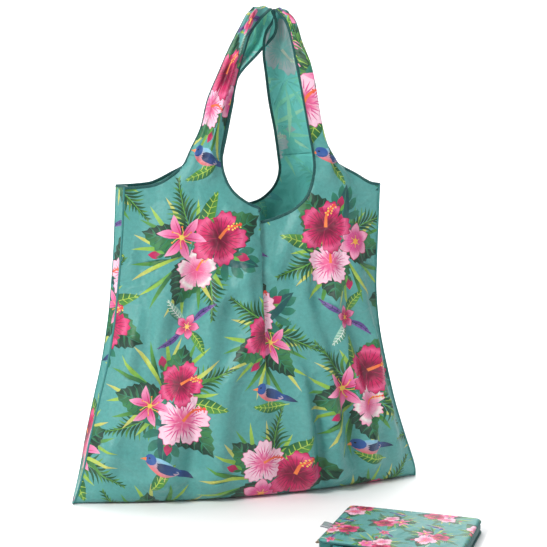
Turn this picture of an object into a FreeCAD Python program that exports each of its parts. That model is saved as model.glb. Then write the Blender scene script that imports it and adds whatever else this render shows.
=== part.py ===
import FreeCAD, Part
import math
import os

import Sketcher

# Fold-away shopper bag that hangs open by its two loop handles, and its zipped storage pouch.
# Frame: origin at the centre of the bag's base on the ground, +X to the bag's right,
# -Y to its front, +Z up. Millimetres.

V = FreeCAD.Vector
doc = FreeCAD.newDocument("foldable_tote_bag")
sheet = doc.addObject("Spreadsheet::Sheet", "Sizes")

SIZES = [
    # bag body
    ("base_half_width", 218),
    ("shoulder_half_width", 156),
    ("shoulder_height", 376),
    ("base_half_depth", 35),
    ("mouth_half_depth", 36),
    ("belly_swell", 33),
    ("gusset_half_base", 3),
    ("gusset_half_top", 28),
    ("cloth", 1),
    ("hem_width", 6),
    ("seam_width", 5),
    ("seam_wall", 1.2),
    ("seam_allowance", 6),
    # mouth
    ("mouth_half_width", 46),
    ("mouth_drop", 25),
    ("mouth_corner", 16),
    # straps
    ("root_outer", 118),
    ("hinge_rise", 32),
    ("hinge_outer", 96),
    ("hinge_inner", 50),
    ("hinge_half_depth", 30),
    ("hang_height", 590),
    ("hang_outer", 30),
    ("hang_inner", 3),
    ("fold_radius", 6),
    ("strap_hem", 5),
    ("strap_gap", 0.3),
    # storage pouch
    ("pouch_x", 107),
    ("pouch_y", -233),
    ("pouch_turn", -35),
    ("pouch_width", 150),
    ("pouch_depth", 126),
    ("pouch_corner", 14),
    ("pouch_base", 2),
    ("pouch_wall_height", 10),
    ("pouch_lid", 4.5),
    ("pouch_lid_round", 3),
    ("pouch_cloth", 1.2),
    ("piping_radius", 1.1),
    # zip
    ("zip_gap", 8),
    ("coil_height", 2.2),
    ("coil_proud", 1),
    ("tooth_pitch", 3),
    ("tooth_length", 1.6),
    ("zip_stop_length", 3),
    ("slider_start", 22),
    ("slider_length", 11),
    ("slider_edge_gap", 1),
    ("slider_wall", 1),
    ("slider_clearance", 0.4),
    ("post_radius", 0.8),
    ("post_stand_off", 2.2),
    ("eye_clearance", 0.3),
    ("eye_height", 3.6),
    ("pull_length", 21),
    ("pull_width", 7),
    ("pull_wall", 1.2),
    # tags
    ("side_tag_length", 12),
    ("side_tag_width", 10),
    ("side_tag_wall", 1.6),
    ("end_tab_length", 6),
    ("end_tab_width", 8),
    ("end_tab_wall", 1.6),
]

for row, (alias, number) in enumerate(SIZES, start=1):
    sheet.set("A%d" % row, alias)
    sheet.set("B%d" % row, str(number))
    sheet.setAlias("B%d" % row, alias)
doc.recompute()

PARTS = []


def number(expression):
    """The value of a sheet expression, for a sketch's first shape."""
    found = sheet.evalExpression(expression)
    return float(getattr(found, "Value", found))


def cell(text):
    """Prefixes each sheet name in a short formula."""
    out = []
    for word in text.split():
        plain = word.strip("()")
        if plain and plain[0].isalpha() and plain not in ("sqrt", "pow"):
            word = word.replace(plain, "Sizes." + plain)
        out.append(word)
    return " ".join(out)


def place(obj, x, y, z):
    obj.setExpression(".Placement.Base.x", x)
    obj.setExpression(".Placement.Base.y", y)
    obj.setExpression(".Placement.Base.z", z)


def keep(obj, label):
    obj.Label = label
    PARTS.append(obj)
    return obj


def bind(sketch, name, constraint, expression):
    index = sketch.addConstraint(constraint)
    sketch.renameConstraint(index, name)
    sketch.setExpression("Constraints." + name, expression)


def join_ends(sketch, pairs):
    for a, a_end, b, b_end in pairs:
        sketch.addConstraint(Sketcher.Constraint("Coincident", a, a_end, b, b_end))


# ---------------------------------------------------------------- sections

def strip_section(label, x, y, z, width, wall):
    """A rectangle centred on x, y at height z: the cross-section of a flat strip."""
    sketch = doc.addObject("Sketcher::SketchObject", label)
    w = number(width) / 2
    t = number(wall) / 2
    corners = [V(-w, -t, 0), V(w, -t, 0), V(w, t, 0), V(-w, t, 0)]
    for i in range(4):
        sketch.addGeometry(Part.LineSegment(corners[i], corners[(i + 1) % 4]), False)
    join_ends(sketch, [(0, 2, 1, 1), (1, 2, 2, 1), (2, 2, 3, 1), (3, 2, 0, 1)])
    for line, way in ((0, "Horizontal"), (2, "Horizontal"), (1, "Vertical"), (3, "Vertical")):
        sketch.addConstraint(Sketcher.Constraint(way, line))
    sketch.addConstraint(Sketcher.Constraint("Symmetric", 0, 1, 1, 2, -1, 1))
    bind(sketch, "strip_width", Sketcher.Constraint("DistanceX", 0, 1, 0, 2, 2 * w), width)
    bind(sketch, "strip_wall", Sketcher.Constraint("DistanceY", 1, 1, 1, 2, 2 * t), wall)
    place(sketch, x, y, z)
    return sketch


def panel_section(label, half_width, edge, crown, z):
    """The front panel's cross-section: an arc of cloth from side seam to side seam."""
    sketch = doc.addObject("Sketcher::SketchObject", label)
    a = number(half_width)
    e = number(edge)
    c = number(crown)
    t = number(cell("cloth"))
    sketch.addGeometry(Part.Arc(V(-a, -e, 0), V(0, -c, 0), V(a, -e, 0)), False)
    sketch.addGeometry(Part.Arc(V(-a, t - e, 0), V(0, t - c, 0), V(a, t - e, 0)), False)
    sketch.addGeometry(Part.LineSegment(V(a, -e, 0), V(a, t - e, 0)), False)
    sketch.addGeometry(Part.LineSegment(V(-a, t - e, 0), V(-a, -e, 0)), False)
    join_ends(sketch, [(0, 2, 2, 1), (2, 2, 1, 2), (1, 1, 3, 1), (3, 2, 0, 1)])
    sketch.addConstraint(Sketcher.Constraint("Symmetric", 0, 1, 0, 2, -2))
    sketch.addConstraint(Sketcher.Constraint("Symmetric", 1, 1, 1, 2, -2))
    sketch.addConstraint(Sketcher.Constraint("Vertical", 2))
    sketch.addConstraint(Sketcher.Constraint("Equal", 0, 1))
    radius = (a * a + (c - e) ** 2) / (2 * (c - e))
    swell = "(%s - (%s))" % (crown, edge)
    radius_text = "((%s) ^ 2 + %s ^ 2) / (2 * %s)" % (half_width, swell, swell)
    bind(sketch, "half_width", Sketcher.Constraint("DistanceX", -1, 1, 0, 2, a), half_width)
    bind(sketch, "edge_depth", Sketcher.Constraint("DistanceY", 0, 2, -1, 1, e), edge)
    bind(sketch, "wall", Sketcher.Constraint("DistanceY", 2, 1, 2, 2, t), cell("cloth"))
    bind(sketch, "crown_radius", Sketcher.Constraint("Radius", 0, radius), radius_text)
    place(sketch, "0", "0", z)
    return sketch


def loft(label, sections):
    body = doc.addObject("Part::Loft", label)
    body.Sections = sections
    body.Solid = True
    body.Ruled = True
    body.Label = label
    return body


def mirrored(label, source, normal):
    copy = doc.addObject("Part::Mirroring", label)
    copy.Source = source
    copy.Base = V(0, 0, 0)
    copy.Normal = normal
    return keep(copy, label)


def boolean(kind, label, base, tool):
    result = doc.addObject("Part::" + kind, label)
    result.Base = base
    result.Tool = tool
    result.Label = label
    return result


# ---------------------------------------------------------------- bag body profile
# Height runs from the base cloth (0) to the foot of the shoulder hem (1). The belly is
# fullest at three tenths of that height; the side seams draw in fast above the base.

LEVELS = (0, 0.05, 0.12, 0.21, 0.32, 0.46, 0.62, 0.8, 1)


def belly(level):
    return (level / 0.3) ** 0.6 * ((1 - level) / 0.7) ** 1.4


def level_sizes(level):
    taper = (1 - level) ** 3
    half_width = cell("shoulder_half_width + ( base_half_width - shoulder_half_width ) * %.6f" % taper)
    edge = cell("gusset_half_base + ( gusset_half_top - gusset_half_base ) * %.6f" % math.sqrt(level))
    crown = cell("base_half_depth + ( mouth_half_depth - base_half_depth ) * %.6f" % level)
    crown += " + Sizes.belly_swell * %.6f" % belly(level)
    z = cell("cloth + ( shoulder_height - hem_width - cloth ) * %.6f" % level)
    return half_width, edge, crown, z


panel_sections = []
gusset_sections = []
seam_sections = []
for index, level in enumerate(LEVELS):
    half_width, edge, crown, z = level_sizes(level)
    panel_sections.append(panel_section("panel_level_%d" % index, half_width, edge, crown, z))
    gusset_x = "-(%s) + Sizes.cloth / 2" % half_width
    gusset_width = "2 * ((%s) - Sizes.cloth)" % edge
    gusset_sections.append(strip_section("gusset_level_%d" % index, gusset_x, "0", z,
                                         "Sizes.cloth", gusset_width))
    share = 0.5 if index == 0 else 1
    seam_x = "-(%s) - Sizes.seam_wall / 2" % half_width
    seam_y = "-(%s) + Sizes.seam_width * %g" % (edge, share / 2)
    seam_sections.append(strip_section("seam_level_%d" % index, seam_x, seam_y, z,
                                       "Sizes.seam_wall", "Sizes.seam_width * %g" % share))

front_wall = loft("front_wall", panel_sections)

# The front panel turns under at the ground and runs to the bottom seam on the centre line.
base_half = doc.addObject("Sketcher::SketchObject", "front_base_outline")
ground_width, ground_edge, ground_crown, ground_z = level_sizes(0)
a0 = number(ground_width)
e0 = number(ground_edge)
c0 = number(ground_crown)
base_half.addGeometry(Part.Arc(V(-a0, -e0, 0), V(0, -c0, 0), V(a0, -e0, 0)), False)
base_half.addGeometry(Part.LineSegment(V(a0, -e0, 0), V(a0, 0, 0)), False)
base_half.addGeometry(Part.LineSegment(V(a0, 0, 0), V(-a0, 0, 0)), False)
base_half.addGeometry(Part.LineSegment(V(-a0, 0, 0), V(-a0, -e0, 0)), False)
join_ends(base_half, [(0, 2, 1, 1), (1, 2, 2, 1), (2, 2, 3, 1), (3, 2, 0, 1)])
base_half.addConstraint(Sketcher.Constraint("Symmetric", 0, 1, 0, 2, -2))
base_half.addConstraint(Sketcher.Constraint("Symmetric", 1, 2, 2, 2, -2))
base_half.addConstraint(Sketcher.Constraint("PointOnObject", 1, 2, -1))
base_half.addConstraint(Sketcher.Constraint("Vertical", 1))
bind(base_half, "half_width", Sketcher.Constraint("DistanceX", -1, 1, 0, 2, a0), ground_width)
bind(base_half, "edge_depth", Sketcher.Constraint("DistanceY", 0, 2, -1, 1, e0), ground_edge)
ground_swell = "(%s - (%s))" % (ground_crown, ground_edge)
bind(base_half, "crown_radius",
     Sketcher.Constraint("Radius", 0, (a0 * a0 + (c0 - e0) ** 2) / (2 * (c0 - e0))),
     "((%s) ^ 2 + %s ^ 2) / (2 * %s)" % (ground_width, ground_swell, ground_swell))
front_base = doc.addObject("Part::Extrusion", "front_base")
front_base.Base = base_half
front_base.DirMode = "Custom"
front_base.Dir = V(0, 0, 1)
front_base.Solid = True
front_base.setExpression("LengthFwd", cell("cloth"))

front_shell = boolean("Fuse", "front_shell", front_wall, front_base)


def mouth_tool(label, half_width, bottom, corner):
    """A round-cornered scoop through the top edge, centred on the bag."""
    sketch = doc.addObject("Sketcher::SketchObject", label + "_outline")
    w = number(half_width)
    b = number(bottom)
    r = number(corner)
    top = number(cell("shoulder_height + hem_width"))
    q = r * math.sqrt(0.5)
    sketch.addGeometry(Part.LineSegment(V(-w, top, 0), V(-w, b + r, 0)), False)
    sketch.addGeometry(Part.Arc(V(-w, b + r, 0), V(-w + r - q, b + r - q, 0), V(-w + r, b, 0)), False)
    sketch.addGeometry(Part.LineSegment(V(-w + r, b, 0), V(w - r, b, 0)), False)
    sketch.addGeometry(Part.Arc(V(w - r, b, 0), V(w - r + q, b + r - q, 0), V(w, b + r, 0)), False)
    sketch.addGeometry(Part.LineSegment(V(w, b + r, 0), V(w, top, 0)), False)
    sketch.addGeometry(Part.LineSegment(V(w, top, 0), V(-w, top, 0)), False)
    join_ends(sketch, [(4, 2, 5, 1), (5, 2, 0, 1)])
    for a, a_end, c, c_end in ((0, 2, 1, 1), (1, 2, 2, 1), (2, 2, 3, 1), (3, 2, 4, 1)):
        sketch.addConstraint(Sketcher.Constraint("Tangent", a, a_end, c, c_end))
    sketch.addConstraint(Sketcher.Constraint("Vertical", 0))
    sketch.addConstraint(Sketcher.Constraint("Vertical", 4))
    sketch.addConstraint(Sketcher.Constraint("Symmetric", 0, 1, 4, 2, -2))
    sketch.addConstraint(Sketcher.Constraint("Equal", 1, 3))
    bind(sketch, "half_width", Sketcher.Constraint("DistanceX", -1, 1, 4, 2, w), half_width)
    bind(sketch, "bottom", Sketcher.Constraint("DistanceY", -1, 1, 2, 1, b), bottom)
    bind(sketch, "corner", Sketcher.Constraint("Radius", 1, r), corner)
    bind(sketch, "top", Sketcher.Constraint("DistanceY", -1, 1, 4, 2, top),
         cell("shoulder_height + hem_width"))
    sketch.Placement = FreeCAD.Placement(V(0, 0, 0), FreeCAD.Rotation(V(1, 0, 0), 90))
    tool = doc.addObject("Part::Extrusion", label)
    tool.Base = sketch
    tool.DirMode = "Normal"
    tool.Solid = True
    tool.Symmetric = True
    tool.setExpression("LengthFwd", cell("4 * mouth_half_depth"))
    return tool


mouth_inner = mouth_tool("mouth_inner", cell("mouth_half_width"), cell("shoulder_height - mouth_drop"),
                         cell("mouth_corner"))
mouth_outer = mouth_tool("mouth_outer", cell("mouth_half_width + hem_width"),
                         cell("shoulder_height - mouth_drop - hem_width"), cell("mouth_corner + hem_width"))

front_panel = keep(boolean("Cut", "front_panel", front_shell, mouth_outer), "front_panel")
mouth_band = boolean("Common", "front_mouth_band", front_wall, mouth_outer)
front_mouth_hem = keep(boolean("Cut", "front_mouth_hem", mouth_band, mouth_inner), "front_mouth_hem")
mirrored("back_panel", front_panel, V(0, 1, 0))
mirrored("back_mouth_hem", front_mouth_hem, V(0, 1, 0))

left_gusset = keep(loft("left_gusset", gusset_sections), "left_gusset")
mirrored("right_gusset", left_gusset, V(1, 0, 0))

front_left_seam = keep(loft("front_left_seam", seam_sections), "front_left_seam")
mirrored("back_left_seam", front_left_seam, V(0, 1, 0))
front_right_seam = mirrored("front_right_seam", front_left_seam, V(1, 0, 0))
mirrored("back_right_seam", front_right_seam, V(0, 1, 0))

bottom_seam = doc.addObject("Part::Box", "bottom_seam")
bottom_seam.setExpression("Length", cell("2 * ( base_half_width - 4 * seam_width )"))
bottom_seam.setExpression("Width", cell("2 * cloth"))
bottom_seam.setExpression("Height", cell("seam_allowance"))
place(bottom_seam, cell("4 * seam_width - base_half_width"), cell("cloth * -1"), cell("cloth"))
keep(bottom_seam, "bottom_seam")

# ---------------------------------------------------------------- shoulder hems
# Each hem runs from the strap's foot along the front shoulder, round the top of the side
# panel and back along the rear shoulder.

chord = cell("mouth_half_depth - gusset_half_top")
front_at_root = "Sizes.gusset_half_top + (%s) * (1 - (Sizes.root_outer / Sizes.shoulder_half_width) ^ 2)" % chord
hem_points = [
    ("root_outer * -1", "-(%s)" % front_at_root),
    ("shoulder_half_width * -1", "gusset_half_top * -1"),
    ("shoulder_half_width * -1", "gusset_half_top"),
    ("root_outer * -1", front_at_root),
    ("root_outer * -1", "(%s) - Sizes.cloth" % front_at_root),
    ("cloth - shoulder_half_width", "gusset_half_top - cloth"),
    ("cloth - shoulder_half_width", "cloth - gusset_half_top"),
    ("root_outer * -1", "Sizes.cloth - (%s)" % front_at_root),
]


def sized(text):
    return text if "Sizes." in text else cell(text)


left_hem_outline = doc.addObject("Sketcher::SketchObject", "left_shoulder_outline")
hem_corners = [(sized(x), sized(y)) for x, y in hem_points]
hem_vectors = [V(number(x), number(y), 0) for x, y in hem_corners]
for i in range(8):
    left_hem_outline.addGeometry(Part.LineSegment(hem_vectors[i], hem_vectors[(i + 1) % 8]), False)
join_ends(left_hem_outline, [(i, 2, (i + 1) % 8, 1) for i in range(8)])
for i, (x, y) in enumerate(hem_corners):
    bind(left_hem_outline, "across_%s" % "abcdefgh"[i],
         Sketcher.Constraint("DistanceX", -1, 1, i, 1, hem_vectors[i].x), x)
    bind(left_hem_outline, "along_%s" % "abcdefgh"[i],
         Sketcher.Constraint("DistanceY", -1, 1, i, 1, hem_vectors[i].y), y)
place(left_hem_outline, "0", "0", cell("shoulder_height - hem_width"))
left_shoulder_hem = doc.addObject("Part::Extrusion", "left_shoulder_hem")
left_shoulder_hem.Base = left_hem_outline
left_shoulder_hem.DirMode = "Custom"
left_shoulder_hem.Dir = V(0, 0, 1)
left_shoulder_hem.Solid = True
left_shoulder_hem.setExpression("LengthFwd", cell("hem_width"))
keep(left_shoulder_hem, "left_shoulder_hem")
mirrored("right_shoulder_hem", left_shoulder_hem, V(1, 0, 0))

# ---------------------------------------------------------------- strap roots
# The part of each strap below the height at which the loop turns. Shares are of the run
# from the shoulder line (0) to the turning height (1).

ROOT_RUN = (0, 0.4, 0.7, 1)
ROOT_OUTER = (0, 0.5, 0.82, 1)
ROOT_INNER = (0, 0.12, 0.4, 1)
ROOT_DEPTH = (0, 0.3, 0.62, 1)

root_mid = "((Sizes.root_outer + Sizes.mouth_half_width) / 2)"
root_depth = "(Sizes.gusset_half_top + (%s) * (1 - (%s / Sizes.shoulder_half_width) ^ 2) - Sizes.cloth / 2)" % (
    chord, root_mid)

root_sections = []
for index in range(4):
    outer = cell("root_outer + ( hinge_outer - root_outer ) * %g" % ROOT_OUTER[index])
    inner = cell("mouth_half_width + ( hinge_inner - mouth_half_width ) * %g" % ROOT_INNER[index])
    depth = "%s + (Sizes.hinge_half_depth - %s) * %g" % (root_depth, root_depth, ROOT_DEPTH[index])
    foot = cell("shoulder_height - hem_width")
    z = "%s + (Sizes.shoulder_height + Sizes.hinge_rise - (%s)) * %g" % (foot, foot, ROOT_RUN[index])
    root_sections.append(strip_section("root_level_%d" % index, "-((%s) + (%s)) / 2" % (outer, inner),
                                       "-(%s)" % depth, z, "(%s) - (%s)" % (outer, inner), "Sizes.cloth"))

left_front_root = keep(loft("left_front_root", root_sections), "left_front_root")
mirrored("left_back_root", left_front_root, V(0, 1, 0))
right_front_root = mirrored("right_front_root", left_front_root, V(1, 0, 0))
mirrored("right_back_root", right_front_root, V(0, 1, 0))

# ---------------------------------------------------------------- handle loops
# Front and back straps lean in from the turning height to the hanging point, where one
# fold of cloth joins them. Shares are of the run from turning height (0) to the fold (1).

STRAP_RUN = (0, 0.17, 0.37, 0.62, 0.82, 1)
STRAP_OUTER = (1, 0.742, 0.56, 0.333, 0.167, 0)
STRAP_INNER = (1, 0.894, 0.723, 0.447, 0.213, 0)
STRAP_DEPTH = (1, 0.79, 0.57, 0.33, 0.14, 0)

fold_mid = "(Sizes.fold_radius + Sizes.cloth / 2)"
fold_height = cell("hang_height - fold_radius - cloth")
strap_sections = []
outer_hem_sections = []
inner_hem_sections = []
for index in range(6):
    outer = cell("hang_outer + ( hinge_outer - hang_outer ) * %g" % STRAP_OUTER[index])
    inner = cell("hang_inner + ( hinge_inner - hang_inner ) * %g" % STRAP_INNER[index])
    depth = "-(%s + (Sizes.hinge_half_depth - %s) * %g)" % (fold_mid, fold_mid, STRAP_DEPTH[index])
    start = cell("shoulder_height + hinge_rise + strap_gap")
    z = "%s + (%s - (%s)) * %g" % (start, fold_height, start, STRAP_RUN[index])
    strap_sections.append(strip_section("strap_level_%d" % index, "-((%s) + (%s)) / 2" % (outer, inner),
                                        depth, z, "(%s) - (%s) - 2 * Sizes.strap_hem" % (outer, inner),
                                        "Sizes.cloth"))
    outer_hem_sections.append(strip_section("outer_hem_level_%d" % index,
                                            "-(%s) + Sizes.strap_hem / 2" % outer, depth, z,
                                            "Sizes.strap_hem", "Sizes.cloth"))
    inner_hem_sections.append(strip_section("inner_hem_level_%d" % index,
                                            "-(%s) - Sizes.strap_hem / 2" % inner, depth, z,
                                            "Sizes.strap_hem", "Sizes.cloth"))

for name, sections in (("strap", strap_sections), ("outer_hem", outer_hem_sections),
                       ("inner_hem", inner_hem_sections)):
    left_front = keep(loft("left_front_" + name, sections), "left_front_" + name)
    mirrored("left_back_" + name, left_front, V(0, 1, 0))
    right_front = mirrored("right_front_" + name, left_front, V(1, 0, 0))
    mirrored("right_back_" + name, right_front, V(0, 1, 0))

fold_ring = doc.addObject("Part::Cylinder", "fold_outside")
fold_ring.Angle = 180
fold_ring.setExpression("Radius", cell("fold_radius + cloth"))
fold_ring.setExpression("Height", cell("hang_outer - hang_inner"))
fold_core = doc.addObject("Part::Cylinder", "fold_inside")
fold_core.Angle = 180
fold_core.setExpression("Radius", cell("fold_radius"))
fold_core.setExpression("Height", cell("hang_outer - hang_inner"))
for half in (fold_ring, fold_core):
    half.Placement.Rotation = FreeCAD.Rotation(V(0, 1, 0), V(0, 0, 1), V(1, 0, 0), "ZYX")
    place(half, cell("hang_outer * -1"), "0", fold_height)
left_fold = keep(boolean("Cut", "left_handle_fold", fold_ring, fold_core), "left_handle_fold")
mirrored("right_handle_fold", left_fold, V(1, 0, 0))

# ---------------------------------------------------------------- storage pouch
# Built about its own centre with the zip along its front, then set down turned beside the
# bag's front right corner.


def pouch_body(label):
    body = doc.addObject("PartDesign::Body", label)
    place(body, "Sizes.pouch_x", "Sizes.pouch_y", "0")
    body.Placement.Rotation = FreeCAD.Rotation(V(0, 0, 1), 1)
    body.setExpression(".Placement.Rotation.Angle", "Sizes.pouch_turn")
    return keep(body, label)


def origin_plane(body, role):
    return [f for f in body.Origin.OriginFeatures if f.Role == role][0]


def set_feature(body, feature, x, y, z):
    feature.AttachmentSupport = (origin_plane(body, "XY_Plane"), "")
    feature.MapMode = "FlatFace"
    feature.setExpression(".AttachmentOffset.Base.x", x)
    feature.setExpression(".AttachmentOffset.Base.y", y)
    feature.setExpression(".AttachmentOffset.Base.z", z)


def block(body, kind, x, y, z, length, width, height):
    feature = body.newObject("PartDesign::%sBox" % kind, body.Label + "_block")
    feature.setExpression("Length", length)
    feature.setExpression("Width", width)
    feature.setExpression("Height", height)
    set_feature(body, feature, x, y, z)
    doc.recompute()
    return feature


def rod(body, kind, x, y, z, radius, height):
    feature = body.newObject("PartDesign::%sCylinder" % kind, body.Label + "_rod")
    feature.setExpression("Radius", radius)
    feature.setExpression("Height", height)
    set_feature(body, feature, x, y, z)
    doc.recompute()
    return feature


def rounded(body, radius, test):
    """Fillets every edge of the body's last feature whose middle passes the test."""
    base = body.Tip
    names = []
    for index, edge in enumerate(base.Shape.Edges, start=1):
        middle = edge.valueAt((edge.FirstParameter + edge.LastParameter) / 2)
        if test(edge, middle):
            names.append("Edge%d" % index)
    fillet = body.newObject("PartDesign::Fillet", body.Label + "_round")
    fillet.Base = (base, names)
    fillet.setExpression("Radius", radius)
    doc.recompute()
    return fillet


def upright(edge, middle):
    ends = [v.Point for v in edge.Vertexes]
    return len(ends) == 2 and abs(ends[0].z - ends[1].z) > 1e-6 and (ends[0] - ends[1]).cross(V(0, 0, 1)).Length < 1e-6


def rounded_loop(sketch, width, depth, radius):
    """A centred rectangle with equal round corners, fully tied."""
    w = number(width) / 2
    d = number(depth) / 2
    r = number(radius)
    q = r * math.sqrt(0.5)
    first = sketch.GeometryCount
    for start, end in ((V(r - w, -d, 0), V(w - r, -d, 0)), (V(w, r - d, 0), V(w, d - r, 0)),
                       (V(w - r, d, 0), V(r - w, d, 0)), (V(-w, d - r, 0), V(-w, r - d, 0))):
        sketch.addGeometry(Part.LineSegment(start, end), False)
    for sx, sy in ((1, -1), (1, 1), (-1, 1), (-1, -1)):
        centre = V(sx * (w - r), sy * (d - r), 0)
        along = V(sx * r, 0, 0)
        across = V(0, sy * r, 0)
        begin, finish = (across, along) if sx * sy < 0 else (along, across)
        sketch.addGeometry(Part.Arc(centre + begin, centre + V(sx * q, sy * q, 0), centre + finish), False)
    for i in range(4):
        line = first + i
        arc = first + 4 + i
        following = first + (i + 1) % 4
        sketch.addConstraint(Sketcher.Constraint("Tangent", line, 2, arc, 1))
        sketch.addConstraint(Sketcher.Constraint("Tangent", arc, 2, following, 1))
    sketch.addConstraint(Sketcher.Constraint("Horizontal", first + 2))
    sketch.addConstraint(Sketcher.Constraint("Vertical", first + 3))
    sketch.addConstraint(Sketcher.Constraint("Symmetric", first, 1, first, 2, -2))
    sketch.addConstraint(Sketcher.Constraint("Symmetric", first + 1, 1, first + 1, 2, -1))
    for i in range(5, 8):
        sketch.addConstraint(Sketcher.Constraint("Equal", first + 4, first + i))
    tail = "_%d" % first
    bind(sketch, "corner" + tail, Sketcher.Constraint("Radius", first + 4, r), radius)
    bind(sketch, "width" + tail, Sketcher.Constraint("DistanceX", first + 3, 1, first + 1, 1, 2 * w), width)
    bind(sketch, "depth" + tail, Sketcher.Constraint("DistanceY", first, 1, first + 2, 1, 2 * d), depth)


def rounded_pad(label, loops, z, height):
    body = pouch_body(label)
    sketch = body.newObject("Sketcher::SketchObject", label + "_outline")
    set_feature(body, sketch, "0", "0", z)
    for width, depth, radius in loops:
        rounded_loop(sketch, width, depth, radius)
    pad = body.newObject("PartDesign::Pad", label + "_pad")
    pad.Profile = sketch
    pad.setExpression("Length", height)
    doc.recompute()
    return body


outline = ("Sizes.pouch_width", "Sizes.pouch_depth", "Sizes.pouch_corner")
lining = (cell("pouch_width - 2 * pouch_cloth"), cell("pouch_depth - 2 * pouch_cloth"),
          cell("pouch_corner - pouch_cloth"))
wall_top = cell("pouch_base + pouch_wall_height")
pouch_top = cell("pouch_base + pouch_wall_height + pouch_lid")
zip_mid = cell("pouch_base + pouch_wall_height / 2")
front_face = cell("pouch_depth / -2")
zip_half = cell("pouch_width / 2 - pouch_corner")

pouch_base_panel = rounded_pad("pouch_base_panel", [outline], "0", "Sizes.pouch_base")
pouch_wall = rounded_pad("pouch_wall", [outline, lining], "Sizes.pouch_base", "Sizes.pouch_wall_height")
block(pouch_wall, "Subtractive", "-(%s)" % zip_half, "%s - 1" % front_face,
      "%s - Sizes.zip_gap / 2" % zip_mid, "2 * (%s)" % zip_half, cell("pouch_cloth + 2"), "Sizes.zip_gap")
pouch_lid = rounded_pad("pouch_lid_panel", [outline], wall_top, "Sizes.pouch_lid")
lid_top = number(pouch_top)
rounded(pouch_lid, "Sizes.pouch_lid_round", lambda edge, middle: abs(middle.z - lid_top) < 1e-6)


def piping(label, z):
    """Round piping that lies against the pouch's outline at one height."""
    body = pouch_body(label)
    path = body.newObject("Sketcher::SketchObject", label + "_path")
    set_feature(body, path, "0", "0", z)
    rounded_loop(path, cell("pouch_width + 2 * piping_radius"), cell("pouch_depth + 2 * piping_radius"),
                 cell("pouch_corner + piping_radius"))
    ring = body.newObject("Sketcher::SketchObject", label + "_ring")
    ring.AttachmentSupport = (origin_plane(body, "YZ_Plane"), "")
    ring.MapMode = "FlatFace"
    doc.recompute()
    at_y = "-(%s) - Sizes.piping_radius" % cell("pouch_depth / 2")
    centre = V(number(at_y), number(z), 0)
    ring.addGeometry(Part.Circle(centre, V(0, 0, 1), number(cell("piping_radius"))), False)
    bind(ring, "across", Sketcher.Constraint("DistanceX", -1, 1, 0, 3, centre.x), at_y)
    bind(ring, "up", Sketcher.Constraint("DistanceY", -1, 1, 0, 3, centre.y), z)
    bind(ring, "piping", Sketcher.Constraint("Radius", 0, number(cell("piping_radius"))), "Sizes.piping_radius")
    pipe = body.newObject("PartDesign::AdditivePipe", label + "_pipe")
    pipe.Profile = ring
    pipe.Spine = (path, [])
    doc.recompute()
    return body


piping("pouch_base_piping", "Sizes.piping_radius")
piping("pouch_lid_piping", "%s + Sizes.pouch_lid / 4" % wall_top)

# Zip: two tapes fill the slot in the wall, the closed coil runs between them.
tape_height = cell("( zip_gap - coil_height ) / 2")
for label, z in (("zip_tape_lower", "%s - Sizes.zip_gap / 2" % zip_mid),
                 ("zip_tape_upper", "%s + Sizes.coil_height / 2" % zip_mid)):
    tape = pouch_body(label)
    block(tape, "Additive", "-(%s)" % zip_half, front_face, z, "2 * (%s)" % zip_half, "Sizes.pouch_cloth",
          tape_height)

zip_coil = pouch_body("zip_coil")
coil_length = "2 * (%s) - 2 * Sizes.zip_stop_length" % zip_half
coil_start = "-(%s) + Sizes.zip_stop_length" % zip_half
coil_low = "%s - Sizes.coil_height / 2" % zip_mid
block(zip_coil, "Additive", coil_start, front_face, coil_low, coil_length, "Sizes.pouch_cloth", "Sizes.coil_height")
tooth = block(zip_coil, "Additive", coil_start, "%s - Sizes.coil_proud" % front_face, coil_low,
              "Sizes.tooth_length", "Sizes.coil_proud + Sizes.pouch_cloth / 2", "Sizes.coil_height")
teeth = zip_coil.newObject("PartDesign::LinearPattern", "zip_coil_teeth")
teeth.Originals = [tooth]
teeth.Direction = ([f for f in zip_coil.Origin.OriginFeatures if f.Role == "X_Axis"][0], [""])
teeth.setExpression("Occurrences", "floor((%s - Sizes.tooth_length) / Sizes.tooth_pitch) + 1" % coil_length)
teeth.setExpression("Length", "floor((%s - Sizes.tooth_length) / Sizes.tooth_pitch) * Sizes.tooth_pitch" % coil_length)
zip_coil.Tip = teeth
doc.recompute()

for label, x in (("zip_stop_start", "-(%s)" % zip_half),
                 ("zip_stop_end", "%s - Sizes.zip_stop_length" % zip_half)):
    stop = pouch_body(label)
    block(stop, "Additive", x, "%s - Sizes.coil_proud" % front_face, coil_low, "Sizes.zip_stop_length",
          "Sizes.coil_proud + Sizes.pouch_cloth", "Sizes.coil_height")

# Slider: a channel that straddles the coil, with a post in front for the pull.
zip_slider = pouch_body("zip_slider")
slider_x = cell("pouch_width / -2 + slider_start")
slider_front = "%s - Sizes.coil_proud - Sizes.slider_clearance - Sizes.slider_wall" % front_face
slider_height = "(Sizes.pouch_wall_height - 2 * Sizes.slider_edge_gap)"
slider_low = "%s - %s / 2" % (zip_mid, slider_height)
slider_depth = cell("coil_proud + slider_wall")
block(zip_slider, "Additive", "%s - Sizes.slider_length / 2" % slider_x, slider_front, slider_low,
      "Sizes.slider_length", slider_depth, slider_height)
rounded(zip_slider, "Sizes.slider_wall * 0.8", lambda edge, middle: edge.Length > 0.9 * number(slider_height)
        and abs(middle.y - number(slider_front)) < 1e-6 and upright(edge, middle))
block(zip_slider, "Subtractive", "%s - Sizes.slider_length" % slider_x, "%s + Sizes.slider_wall" % slider_front,
      "%s + Sizes.slider_wall" % slider_low, "2 * Sizes.slider_length", "2 * Sizes.coil_proud",
      "%s - 2 * Sizes.slider_wall" % slider_height)
post_y = "%s - Sizes.post_stand_off" % slider_front
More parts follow.
